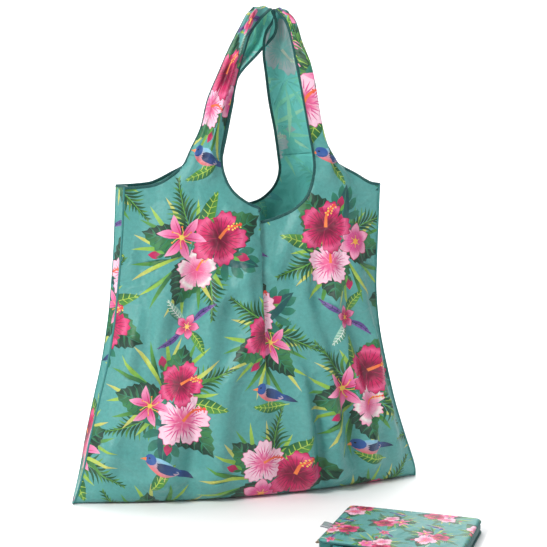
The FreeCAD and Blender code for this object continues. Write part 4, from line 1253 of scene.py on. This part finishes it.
def hard_finish(name, colour, rough, metal=0.0, grain=500.0, depth=0.00006, wear=0.1, coat=0.0):
    """Moulded plastic or plated metal: fine grain, small colour drift, brighter worn spots."""
    mat, tree, surface = material(name)
    link = tree.links.new
    place = place_source(tree, False)
    grain_noise = add_node(tree, "ShaderNodeTexNoise", -700, 0)
    grain_noise.inputs["Scale"].default_value = grain
    grain_noise.inputs["Detail"].default_value = 5.0
    link(place, grain_noise.inputs["Vector"])
    drift = add_node(tree, "ShaderNodeTexNoise", -700, -250)
    drift.inputs["Scale"].default_value = 70.0
    drift.inputs["Detail"].default_value = 3.0
    link(place, drift.inputs["Vector"])
    lit = tuple(min(1.0, float(c) * 1.5 + 0.03) for c in colour)
    base = colour_mix(tree, "MIX", maths(tree, "MULTIPLY", drift.outputs[0], wear * 2, -450, -200), colour,
                      lit, -250, 100)
    link(base, surface.inputs["Base Color"])
    link(maths(tree, "ADD", maths(tree, "MULTIPLY", grain_noise.outputs[0], 0.16, -250, -100), rough - 0.08,
               -50, -100),
         surface.inputs["Roughness"])
    surface.inputs["Metallic"].default_value = metal
    surface.inputs["Coat Weight"].default_value = coat
    bump = add_node(tree, "ShaderNodeBump", 200, -300)
    bump.inputs["Strength"].default_value = 0.4
    bump.inputs["Distance"].default_value = depth
    link(grain_noise.outputs[0], bump.inputs["Height"])
    link(bump.outputs[0], surface.inputs["Normal"])
    return mat


GROUPS = {"weave": make_weave_group(), "crinkle": make_crinkle_group()}
MAT = {
    "cloth": fabric("printed_nylon", TEAL, rough=0.42),
    # The wrong side's pale teal is partly painted light, standing in for light through the cloth.
    "cloth_back": fabric("printed_nylon_wrong_side", TEAL, wrong_side_painted_light=True, rough=0.58),
    "binding": fabric("binding_tape", INK["hem"], printed=False, threads=1300.0, crinkle=0.25, rough=0.6,
                      crinkle_scale=90.0, bump=0.6),
    "seam": fabric("seam_tape", tint(52, 132, 128), printed=False, threads=1300.0, crinkle=0.3, rough=0.6,
                   crinkle_scale=90.0, bump=0.6),
    "thread": fabric("sewing_thread", tint(18, 96, 94), printed=False, threads=3000.0, crinkle=0.1,
                     rough=0.65,
                     own=False, bump=0.8),
    "pouch_cloth": fabric("pouch_print", TEAL, rough=0.46, crinkle=0.45, crinkle_scale=40.0),
    "pouch_wall": fabric("pouch_side_cloth", tint(16, 98, 98), printed=False, crinkle=0.5, rough=0.52,
                         crinkle_scale=60.0, bump=0.6),
    "pouch_base": fabric("pouch_base_cloth", tint(20, 104, 104), printed=False, crinkle=0.5, rough=0.55,
                         crinkle_scale=50.0, bump=0.6),
    "tape": fabric("zip_tape_weave", tint(8, 70, 72), printed=False, threads=1100.0, crinkle=0.05, rough=0.66,
                   own=False, bump=0.9),
    "webbing": fabric("beige_tab_weave", tint(176, 160, 138), printed=False, threads=800.0, crinkle=0.2,
                      rough=0.7,
                      crinkle_scale=90.0, bump=1.0),
    "coil": hard_finish("zip_coil_nylon", tint(16, 104, 106), 0.38, 0.0, 900.0, 0.00004, 0.15),
    "stop": hard_finish("zip_stop_nylon", tint(20, 92, 94), 0.42, 0.0, 700.0, 0.00005, 0.15),
    "slider": hard_finish("zip_slider_lacquer", tint(26, 112, 114), 0.32, 0.35, 600.0, 0.00004, 0.25, 0.4),
    "pull": hard_finish("zip_pull_lacquer", tint(30, 118, 118), 0.30, 0.35, 600.0, 0.00004, 0.25, 0.4),
    "film": hard_finish("silver_grey_film", tint(186, 188, 194), 0.24, 0.55, 260.0, 0.00025, 0.3, 0.3),
}

# ---------------------------------------------------------------- stitches


def make_stitch_group():
    """Short stitches laid end to end along each line of a mesh."""
    tree = bpy.data.node_groups.new("stitch_rows", "GeometryNodeTree")
    for label, kind in (("Geometry", "NodeSocketGeometry"), ("Pitch", "NodeSocketFloat"),
                        ("Thread radius", "NodeSocketFloat"), ("Thread", "NodeSocketMaterial")):
        tree.interface.new_socket(label, in_out="INPUT", socket_type=kind)
    tree.interface.new_socket("Geometry", in_out="OUTPUT", socket_type="NodeSocketGeometry")
    gin, gout = add_node(tree, "NodeGroupInput", -900), add_node(tree, "NodeGroupOutput", 900)
    link = tree.links.new
    curve = add_node(tree, "GeometryNodeMeshToCurve", -700)
    link(gin.outputs["Geometry"], curve.inputs[0])
    even = add_node(tree, "GeometryNodeResampleCurve", -500)
    even.mode = "LENGTH"
    link(curve.outputs[0], even.inputs["Curve"])
    link(gin.outputs["Pitch"], even.inputs["Length"])
    ball = add_node(tree, "GeometryNodeMeshUVSphere", -500, -300)
    ball.inputs["Segments"].default_value = 6
    ball.inputs["Rings"].default_value = 5
    ball.inputs["Radius"].default_value = 1.0
    size = add_node(tree, "ShaderNodeCombineXYZ", -500, -500)
    link(gin.outputs["Thread radius"], size.inputs[0])
    link(gin.outputs["Thread radius"], size.inputs[1])
    half = add_node(tree, "ShaderNodeMath", -700, -500, operation="MULTIPLY")
    half.inputs[1].default_value = 0.38
    link(gin.outputs["Pitch"], half.inputs[0])
    link(half.outputs[0], size.inputs[2])
    tangent = add_node(tree, "GeometryNodeInputTangent", -500, 250)
    turn = add_node(tree, "FunctionNodeAlignRotationToVector", -300, 250, axis="Z")
    link(tangent.outputs[0], turn.inputs["Vector"])
    lay = add_node(tree, "GeometryNodeInstanceOnPoints", -100)
    link(even.outputs[0], lay.inputs["Points"])
    link(ball.outputs["Mesh"], lay.inputs["Instance"])
    link(turn.outputs[0], lay.inputs["Rotation"])
    link(size.outputs[0], lay.inputs["Scale"])
    real = add_node(tree, "GeometryNodeRealizeInstances", 200)
    link(lay.outputs[0], real.inputs[0])
    finish_material = add_node(tree, "GeometryNodeSetMaterial", 500)
    link(real.outputs[0], finish_material.inputs["Geometry"])
    link(gin.outputs["Thread"], finish_material.inputs["Material"])
    link(finish_material.outputs[0], gout.inputs[0])
    return tree


STITCHES = make_stitch_group()


def stitch_object(name, lines, pitch=0.0034, radius=0.00026, thread=None):
    verts, edges = [], []
    for line in lines:
        base = len(verts)
        verts += [tuple(p) for p in np.asarray(line) / 1000]
        edges += [(base + i, base + i + 1) for i in range(len(line) - 1)]
    mesh = bpy.data.meshes.new(name)
    mesh.from_pydata(verts, edges, [])
    obj = bpy.data.objects.new(name, mesh)
    bpy.context.scene.collection.objects.link(obj)
    modifier = obj.modifiers.new("stitches", "NODES")
    modifier.node_group = STITCHES
    sockets = {item.name: item.identifier for item in STITCHES.interface.items_tree if item.in_out == "INPUT"}
    modifier[sockets["Pitch"]] = pitch
    modifier[sockets["Thread radius"]] = radius
    modifier[sockets["Thread"]] = thread or MAT["thread"]
    settle(obj)
    smooth_faces(obj)
    return obj


def line_on(flat, at, normal_at, lift):
    """A line laid just above the cloth over flat points."""
    flat = np.asarray(flat, float)
    return at(flat[:, 0], flat[:, 1]) + normal_at(flat[:, 0], flat[:, 1]) * lift


# ---------------------------------------------------------------- camera, light and floor

scene = bpy.context.scene
azimuth, elevation, distance = math.radians(-16), math.radians(7), 1.518
target = Vector((0.030, 0.0, 0.267))
cam_data = bpy.data.cameras.new("camera")
cam_data.sensor_width = 36
cam_data.lens = 82.3
cam_data.clip_end = 60
camera = bpy.data.objects.new("camera", cam_data)
camera.location = target + Vector((math.sin(azimuth) * math.cos(elevation),
                                   -math.cos(azimuth) * math.cos(elevation),
                                   math.sin(elevation))) * distance
camera.rotation_euler = (target - camera.location).to_track_quat("-Z", "Y").to_euler()
scene.collection.objects.link(camera)
scene.camera = camera
scene.view_settings.view_transform = "Standard"


def soft_light(name, place, aim, size, power, colour=(1, 1, 1)):
    data = bpy.data.lights.new(name, "AREA")
    data.shape = "RECTANGLE"
    data.size, data.size_y = size
    data.energy = power
    data.color = colour
    light = bpy.data.objects.new(name, data)
    light.location = place
    light.rotation_euler = (Vector(aim) - Vector(place)).to_track_quat("-Z", "Y").to_euler()
    scene.collection.objects.link(light)


soft_light("key", (-2.0, -1.5, 1.9), (0, 0, 0.25), (0.7, 0.7), 74, (1.0, 0.99, 0.97))
soft_light("fill", (1.6, -2.4, 1.0), (0, 0, 0.3), (1.6, 1.8), 10, (0.97, 0.99, 1.0))
soft_light("top", (0.0, 0.5, 2.6), (0, 0, 0.2), (2.2, 2.2), 26)
soft_light("behind", (0.8, 1.9, 1.3), (0, 0, 0.4), (1.4, 1.0), 14)
soft_light("backdrop", (0.0, 0.9, 2.9), (0, 3.7, 1.2), (5.0, 0.8), 150)

world = bpy.data.worlds.new("studio")
scene.world = world
world.use_nodes = True
world.node_tree.nodes["Background"].inputs[0].default_value = (0.96, 0.97, 0.98, 1)
world.node_tree.nodes["Background"].inputs[1].default_value = 0.42

floor_mat, floor_tree, floor_surface = material("pale_floor")
floor_noise = add_node(floor_tree, "ShaderNodeTexNoise", -300, 0)
floor_noise.inputs["Scale"].default_value = 30.0
floor_tree.links.new(add_node(floor_tree, "ShaderNodeTexCoord", -500, 0).outputs["Object"],
                     floor_noise.inputs["Vector"])
floor_tree.links.new(colour_mix(floor_tree, "MIX", floor_noise.outputs[0], (0.93, 0.93, 0.935),
                                (0.95, 0.95, 0.955)),
                     floor_surface.inputs["Base Color"])
floor_surface.inputs["Roughness"].default_value = 0.9
floor_surface.inputs["Specular IOR Level"].default_value = 0.1


def make_floor():
    """A floor that sweeps up behind into a backdrop."""
    ys = [-6.0, -2.0, 1.0, 2.2]
    path = [(y, 0.0) for y in ys]
    path += [(2.2 + 1.6 * math.sin(a), 1.6 - 1.6 * math.cos(a)) for a in np.linspace(0.1, math.pi / 2, 14)]
    path += [(3.8, 3.0), (3.8, 6.0)]
    verts = [(x, y, z) for y, z in path for x in (-7.0, 7.0)]
    faces = [(2 * i, 2 * i + 1, 2 * i + 3, 2 * i + 2) for i in range(len(path) - 1)]
    floor = new_mesh_object("floor", verts, faces)
    smooth_faces(floor)
    floor.data.materials.append(floor_mat)


make_floor()

# ---------------------------------------------------------------- the bag


def right_hand(points):
    d = np.gradient(np.asarray(points, float), axis=0)
    d /= np.maximum(np.linalg.norm(d, axis=1, keepdims=True), 1e-9)
    return np.stack([d[:, 1], -d[:, 0]], 1)


def straight(a, b, step=3.0):
    count = max(2, int(round(math.dist(a, b) / step)) + 1)
    return np.stack([np.linspace(a[0], b[0], count), np.linspace(a[1], b[1], count)], 1)


def build_panel(side, panel, neck, shoulders, art, spacing):
    outline = panel_outline(neck, shoulders)
    cloth = cloth_object(side + "_cloth", [(outline, art, spacing, panel.at, panel.normal_at)])
    runs, lines = [], []
    for path in (curve_through(neck, 3.0), curve_through(shoulders[0], 3.0),
                 curve_through(shoulders[1], 3.0)):
        inward = right_hand(path)
        runs.append((path, inward, panel.at, panel.normal_at))
        for lift in (0.62, -0.98):
            lines.append(line_on(path + inward * 2.1, panel.at, panel.normal_at, lift))
    binding = band_object(side + "_binding", runs, MAT["binding"])
    stitches = stitch_object(side + "_binding_stitches", lines)
    for piece in (cloth, binding, stitches):
        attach(piece, "bag")
    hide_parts(side + "_panel", "left_" + side + "_root", "right_" + side + "_root")
    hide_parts(side + "_mouth_hem")
    return cloth


def carried(art, strap, length, from_back):
    """A panel's print as it runs on up a strap, in the handle's own flat place."""
    sense = 1.0 if strap.u_inner > strap.u_outer else -1.0

    def move(p):
        q = np.array(p, float)
        w, t = (q[..., 0] - strap.u_outer) * sense, q[..., 1] - SPLIT_V
        return np.stack([w, length - t if from_back else t], -1)

    out = Art()
    for points, kind, colours, a, b in art.shapes:
        if points[:, 1].max() > SPLIT_V - 2:
            moved = move(points)
            if moved[:, 0].max() > 0 and moved[:, 0].min() < STRAP_CUT:
                out.shapes.append((moved, kind, colours, move(a), move(b) if kind == "run" else b))
    return out


def handle_print(front_art, back_art, loop):
    out = carried(back_art, loop.back, loop.length, True)
    out.shapes += carried(front_art, loop.front, loop.length, False).shapes
    return out


def build_handle(side, loop, art):
    length = loop.length
    outline = [tuple(p) for p in straight((0, 0), (STRAP_CUT, 0), 2.5)[:-1]]
    outline += [tuple(p) for p in straight((STRAP_CUT, 0), (STRAP_CUT, length), 2.5)[:-1]]
    outline += [tuple(p) for p in straight((STRAP_CUT, length), (0, length), 2.5)[:-1]]
    outline += [tuple(p) for p in straight((0, length), (0, 0), 2.5)[:-1]]
    cloth = cloth_object(side + "_handle_cloth", [(outline, art, 2.6, loop.at, loop.normal_at)])
    runs, lines = [], []
    for w, into in ((0.0, 1.0), (STRAP_CUT, -1.0)):
        path = straight((w, 0), (w, length), 2.5)
        inward = np.repeat([[into, 0.0]], len(path), 0)
        runs.append((path, inward, loop.at, loop.normal_at))
        for lift in (0.62, -0.98):
            lines.append(line_on(path + inward * 2.1, loop.at, loop.normal_at, lift))
    binding = band_object(side + "_handle_binding", runs, MAT["binding"])
    stitches = stitch_object(side + "_handle_stitches", lines)
    for piece in (cloth, binding, stitches):
        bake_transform(piece)
    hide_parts(*[side + end for end in ("_front_strap", "_back_strap", "_handle_fold")])
    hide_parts(*[side + end for end in ("_front_outer_hem", "_front_inner_hem", "_back_outer_hem",
                                                  "_back_inner_hem")])


def build_gusset(side, sign, art):
    shape = Gusset(sign)
    outline = [tuple(p) for p in straight((0, 0), (GUSSET_CUT, 0), 3)[:-1]]
    outline += [tuple(p) for p in straight((GUSSET_CUT, 0), (GUSSET_CUT, SHOULDER_V), 3)[:-1]]
    outline += [tuple(p) for p in straight((GUSSET_CUT, SHOULDER_V), (0, SHOULDER_V), 3)[:-1]]
    outline += [tuple(p) for p in straight((0, SHOULDER_V), (0, 0), 3)[:-1]]
    cloth = cloth_object(side + "_gusset_cloth", [(outline, art, 4.0, shape.at, shape.normal_at)])
    path = straight((0, SHOULDER_V), (GUSSET_CUT, SHOULDER_V), 2.5)
    inward = np.repeat([[0.0, -1.0]], len(path), 0)
    binding = band_object(side + "_shoulder_binding", [(path, inward, shape.at, shape.normal_at)],
                          MAT["binding"])
    stitches = stitch_object(side + "_shoulder_stitches",
                             [line_on(path + inward * 2.1, shape.at, shape.normal_at,
                                      lift) for lift in (0.62, -0.98)])
    for piece in (cloth, binding, stitches):
        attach(piece, "bag")
    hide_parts(side + "_gusset")
    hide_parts(side + "_shoulder_hem")


front_art = repeat_print(-200, 200, 0, 640, (14, 62))
back_art = repeat_print(-200, 200, 0, 640, (-60, 20))
build_panel("front", front, FRONT_NECK, FRONT_SHOULDERS, front_art, 4.5)
build_panel("back", back, BACK_NECK, BACK_SHOULDERS, back_art, 5.5)
build_handle("left", left_loop, handle_print(front_art, back_art, left_loop))
build_handle("right", right_loop, handle_print(front_art, back_art, right_loop))
build_gusset("left", -1, repeat_print(0, GUSSET_CUT, 0, SHOULDER_V, (30, 90)))
build_gusset("right", 1, repeat_print(0, GUSSET_CUT, 0, SHOULDER_V, (-70, 40)))

for side, u, into in (("left", -HALF_CUT, 1.0), ("right", HALF_CUT, -1.0)):
    for name, panel in (("front", front), ("back", back)):
        path = straight((u, 0.5), (u, SHOULDER_V - 0.5), 3.0)
        seam = band_object("%s_%s_seam_band" % (name, side),
                           [(path, np.repeat([[into, 0.0]], len(path), 0), panel.at,
                                                               panel.normal_at)], MAT["seam"], 1.8, 0.6, 0.5)
        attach(seam, "bag")
        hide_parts("%s_%s_seam" % (name, side))
path = straight((-HALF_CUT, 0), (HALF_CUT, 0), 3.0)
seam = band_object("bottom_seam_band", [(path, np.repeat([[0.0, 1.0]], len(path), 0), front.at,
                                         front.normal_at)],
                   MAT["seam"], 2.2, 0.45, 0.5)
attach(seam, "bag")
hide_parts("bottom_seam")

# ---------------------------------------------------------------- the pouch

POUCH_AT, POUCH_TURN = (107.0, -233.0), math.radians(-35)
POUCH_HALF = (75.0, 63.0)
POUCH_CORNER = 7.0


def pouch_place(p, q, z):
    """From the pouch's own across, back and up to the shared frame."""
    c, s = math.cos(POUCH_TURN), math.sin(POUCH_TURN)
    p, q = np.asarray(p, float), np.asarray(q, float)
    return np.stack([POUCH_AT[0] + p * c - q * s, POUCH_AT[1] + p * s + q * c,
                     np.asarray(z, float) + 0 * p], -1)


def round_rect(grow=0.0, step=2.0):
    """The pouch's outline, anticlockwise from the front left, grown or shrunk evenly."""
    a, b, r = POUCH_HALF[0] + grow, POUCH_HALF[1] + grow, max(POUCH_CORNER + grow, 2.0)
    pts = []
    for cx, cy, start in ((-a + r, -b + r, 180), (a - r, -b + r, 270), (a - r, b - r, 0),
                          (-a + r, b - r, 90)):
        turn = np.radians(start + np.linspace(0, 90, 11))
        pts += [(cx + r * math.cos(t), cy + r * math.sin(t)) for t in turn]
    pts = np.array(pts + [pts[0]])
    run = arclength(pts)
    at = np.linspace(0, run[-1], int(run[-1] / step) + 1)[:-1]
    return np.stack([np.interp(at, run, pts[:, 0]), np.interp(at, run, pts[:, 1])], 1)


def edge_gap(p, q):
    """How far inside the pouch's outline a point is."""
    a, b, r = POUCH_HALF[0] + 0.6, POUCH_HALF[1] + 0.6, POUCH_CORNER
    dx, dy = np.abs(p) - (a - r), np.abs(q) - (b - r)
    out = np.hypot(np.maximum(dx, 0), np.maximum(dy, 0)) + np.minimum(np.maximum(dx, dy), 0)
    return r - out


def lid_at(p, q):
    d = np.clip(edge_gap(p, q), 0, None)
    roll = np.sqrt(np.clip(1 - (1 - np.clip(d / 3.2, 0, 1)) ** 2, 0, 1))
    wave = 0.55 * np.sin(p / 17 + q / 29) + 0.45 * np.sin(q / 13 - p / 31 + 1) + 0.35 * np.sin(p / 9
        + 2) * np.sin(q / 11)
    z = 12.6 + 2.9 * roll + 1.6 * ease(4, 50, d) + wave * ease(4, 22, d)
    return pouch_place(p, q, z)


def surface_normal(at, p, q):
    across = at(p + 0.6, q) - at(p - 0.6, q)
    along = at(p, q + 0.6) - at(p, q - 0.6)
    n = np.cross(across, along)
    return n / np.maximum(np.linalg.norm(n, axis=1, keepdims=True), 1e-9)


def ring_object(name, rings, material_used, closed_run=True, flip=False):
    """Quads between rings of points; each ring has as many."""
    count = len(rings[0])
    verts = np.concatenate(rings) / 1000
    faces = []
    for i in range(len(rings) - 1):
        for j in range(count if closed_run else count - 1):
            k = (j + 1) % count
            quad = (i * count + j, i * count + k, (i + 1) * count + k, (i + 1) * count + j)
            faces.append(quad[::-1] if flip else quad)
    obj = new_mesh_object(name, verts, faces)
    flats = [(run, height) for height, ring in enumerate(rings) for run in arclength(ring)]
    place = obj.data.attributes.new("flat_place", "FLOAT_VECTOR", "POINT")
    rise = np.concatenate([[0],
                           np.cumsum([np.linalg.norm(rings[i
                               + 1][0] - rings[i][0]) for i in range(len(rings) - 1)])])
    flats = np.array([(run / 1000, rise[h] / 1000, 0) for run, h in flats])
    place.data.foreach_set("vector", flats.astype("f").ravel())
    smooth_faces(obj)
    obj.data.materials.append(material_used)
    return obj


def give_thickness(obj, wall):
    solid = obj.modifiers.new("thickness", "SOLIDIFY")
    solid.thickness = wall / 1000
    solid.offset = -1
    settle(obj)


lid_outline = [tuple(p) for p in round_rect(0.6, 2.0)]
lid = cloth_object("pouch_lid", [(lid_outline, repeat_print(-76, 76, -64, 64, (36, 50), 0.40, 180), 2.2,
                                  lid_at,
                                  lambda p, q: surface_normal(lid_at, p * 0.97, q * 0.97))], 0.5)
lid.data.materials[0] = MAT["pouch_cloth"]

outline = round_rect(0.0, 2.0)
run = arclength(np.concatenate([outline, outline[:1]]))[:-1]
outward = np.stack([np.gradient(outline[:, 1]), -np.gradient(outline[:, 0])], 1)
outward[0], outward[-1] = outward[1], outward[-2]
outward /= np.linalg.norm(outward, axis=1, keepdims=True)


def wall_ring(z, swell, wave):
    grown = outline + outward * (swell + wave * (np.sin(run / 11) + 0.6 * np.sin(run / 5.3 + z)))[:, None]
    return pouch_place(grown[:, 0], grown[:, 1], z)


in_front = (np.abs(outline[:, 0]) < 61) & (outline[:, 1] < -62)
levels = [(1.6, -0.6, 0), (2.4, -0.1, 0), (3.0, 0.15, 0.02), (4.2, 0.45, 0.1), (6.0, 0.6, 0.16),
          (8.0, 0.6, 0.16),
          (9.8, 0.45, 0.1), (11.0, 0.15, 0.02), (11.8, -0.1, 0), (12.8, -0.6, 0)]
wall_rings = []
for z, swell, wave in levels:
    ring = wall_ring(z, swell, wave)
    if 2.9 < z < 11.1:
        flat_ring = wall_ring(z, 0.15 if z in (3.0, 11.0) else -0.2, 0)
        ring = np.where(in_front[:, None], flat_ring, ring)
    wall_rings.append(ring)
pouch_side = ring_object("pouch_side", wall_rings, MAT["pouch_wall"])
keep_faces = bpy.data.meshes.new("pouch_side_cut")
count = len(outline)
open_faces = {i * count + j for i in range(2,
                                           7) for j in range(count) if in_front[j] and in_front[(j
                                               + 1) % count]}
source_mesh = pouch_side.data
faces = [tuple(f.vertices) for k, f in enumerate(source_mesh.polygons) if k not in open_faces]
flats = np.zeros(len(source_mesh.vertices) * 3, "f")
source_mesh.attributes["flat_place"].data.foreach_get("vector", flats)
keep_faces.from_pydata([tuple(v.co) for v in source_mesh.vertices], [], faces)
keep_faces.update()
keep_faces.attributes.new("flat_place", "FLOAT_VECTOR", "POINT").data.foreach_set("vector", flats)
keep_faces.materials.append(MAT["pouch_wall"])
pouch_side.data = keep_faces
smooth_faces(pouch_side)
give_thickness(pouch_side, 0.7)


def tape_object(name, z0, z1):
    """A zip tape: a woven strip beside the coil."""
    ps = np.linspace(-61.4, 61.4, 83)
    rings = []
    for z in np.linspace(z0, z1, 7):
        q = np.full_like(ps, -62.35) + 0.10 * np.sin(ps / 7) * math.sin((z - 3) / 8 * math.pi)
        rings.append(pouch_place(ps, q, z))
    obj = ring_object(name, rings, MAT["tape"], closed_run=False)
    give_thickness(obj, 0.45)
    return obj


tape_low, tape_high = tape_object("zip_tape_low", 2.7, 6.3), tape_object("zip_tape_high", 7.7, 11.3)


def piping_object(name, z, radius):
    loop = round_rect(0.55, 2.0)
    rings = []
    out = np.stack([np.gradient(loop[:, 1]), -np.gradient(loop[:, 0])], 1)
    out[0], out[-1] = out[1], out[-2]
    out /= np.linalg.norm(out, axis=1, keepdims=True)
    for a in np.linspace(0, 2 * math.pi, 11):
        grown = loop + out * (radius * math.cos(a))
        rings.append(pouch_place(grown[:, 0], grown[:, 1], z + radius * math.sin(a)))
    return ring_object(name, rings, MAT["pouch_wall"])


low_piping = piping_object("pouch_low_piping", 1.2, 1.1)
high_piping = piping_object("pouch_high_piping", 12.7, 0.9)
base_rings = []
for grow, z in ((0.3, 1.3), (-0.6, 0.6), (-3, 0.35), (-10, 0.3), (-25, 0.5), (-45, 0.6), (-62, 0.6)):
    ring = outline * ((np.array(POUCH_HALF) + grow) / np.array(POUCH_HALF))
    base_rings.append(pouch_place(ring[:, 0], ring[:, 1], z))
pouch_base = ring_object("pouch_base", base_rings, MAT["pouch_base"], flip=True)
give_thickness(pouch_base, 0.25)

pouch_lines = []
for z, grow in ((2.35, 0.28), (11.65, 0.28)):
    ps = np.linspace(-62.5, 62.5, 60)
    pouch_lines.append(pouch_place(ps, np.full_like(ps, -63.0 - grow), z))
for z in (4.0, 9.9):
    ps = np.linspace(-60, 60, 60)
    pouch_lines.append(pouch_place(ps, np.full_like(ps, -62.55), z))
pouch_stitches = stitch_object("pouch_stitches", pouch_lines, 0.0028, 0.00024)


def loop_tag(name, q0, q1, reach, z, lift, wall, material_used, curl):
    """A tape folded double, its ends caught in the pouch's side seam."""
    profile = []
    for t in np.linspace(0, 1, 12):
        profile.append((-74.2 - reach * t, z + 0.55 + lift * t + curl * math.sin(math.pi * t)))
    for a in np.linspace(90, 270, 7)[1:-1]:
        profile.append((-74.2 - reach + 0.9 * math.cos(math.radians(a)),
                        z + lift + 0.55 * math.sin(math.radians(a))))
    for t in np.linspace(1, 0, 12):
        profile.append((-74.2 - reach * t, z - 0.55 + lift * t + curl * 0.8 * math.sin(math.pi * t)))
    rings = []
    for q in np.linspace(q0, q1, 9):
        side = (q - q0) / (q1 - q0) * 2 - 1
        rings.append(pouch_place([p for p, _ in profile], [q + 0.25 * math.sin(p) for p, _ in profile],
                                 [h + 0.35 * side * side for _, h in profile]))
    obj = ring_object(name, rings, material_used, closed_run=False)
    give_thickness(obj, wall)
    return obj


side_tag = loop_tag("film_tag", -10.5, 4.5, 13.5, 7.5, 3.4, 0.35, MAT["film"], 0.9)
end_tab = loop_tag("webbing_tab", -49.5, -41.0, 6.5, 7.0, -0.6, 0.6, MAT["webbing"], 0.2)

for piece, slot, nodes in ((lid, "print_cloth", ["pouch_lid_panel"]), (pouch_side, "binding", ["pouch_wall"]),
                           (tape_low, "binding", ["zip_tape_lower"]),
                           (tape_high, "binding", ["zip_tape_upper"]),
                           (low_piping, "binding", ["pouch_base_piping"]),
                           (high_piping, "binding", ["pouch_lid_piping"]),
                           (pouch_base, "binding", ["pouch_base_panel"]),
                           (side_tag, "tag_film", ["side_tag"]),
                           (end_tab, "tab_webbing", ["end_tab"]), (pouch_stitches, "binding", [])):
    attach(piece, "pouch")
    if nodes:
        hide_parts(*nodes)

for node, finish_name in (("zip_coil", "coil"), ("zip_stop_start", "stop"), ("zip_stop_end", "stop"),
                          ("zip_slider", "slider"), ("pull_tab", "pull")):
    obj = bpy.data.objects[node]
    obj.data.materials.clear()
    obj.data.materials.append(MAT[finish_name])
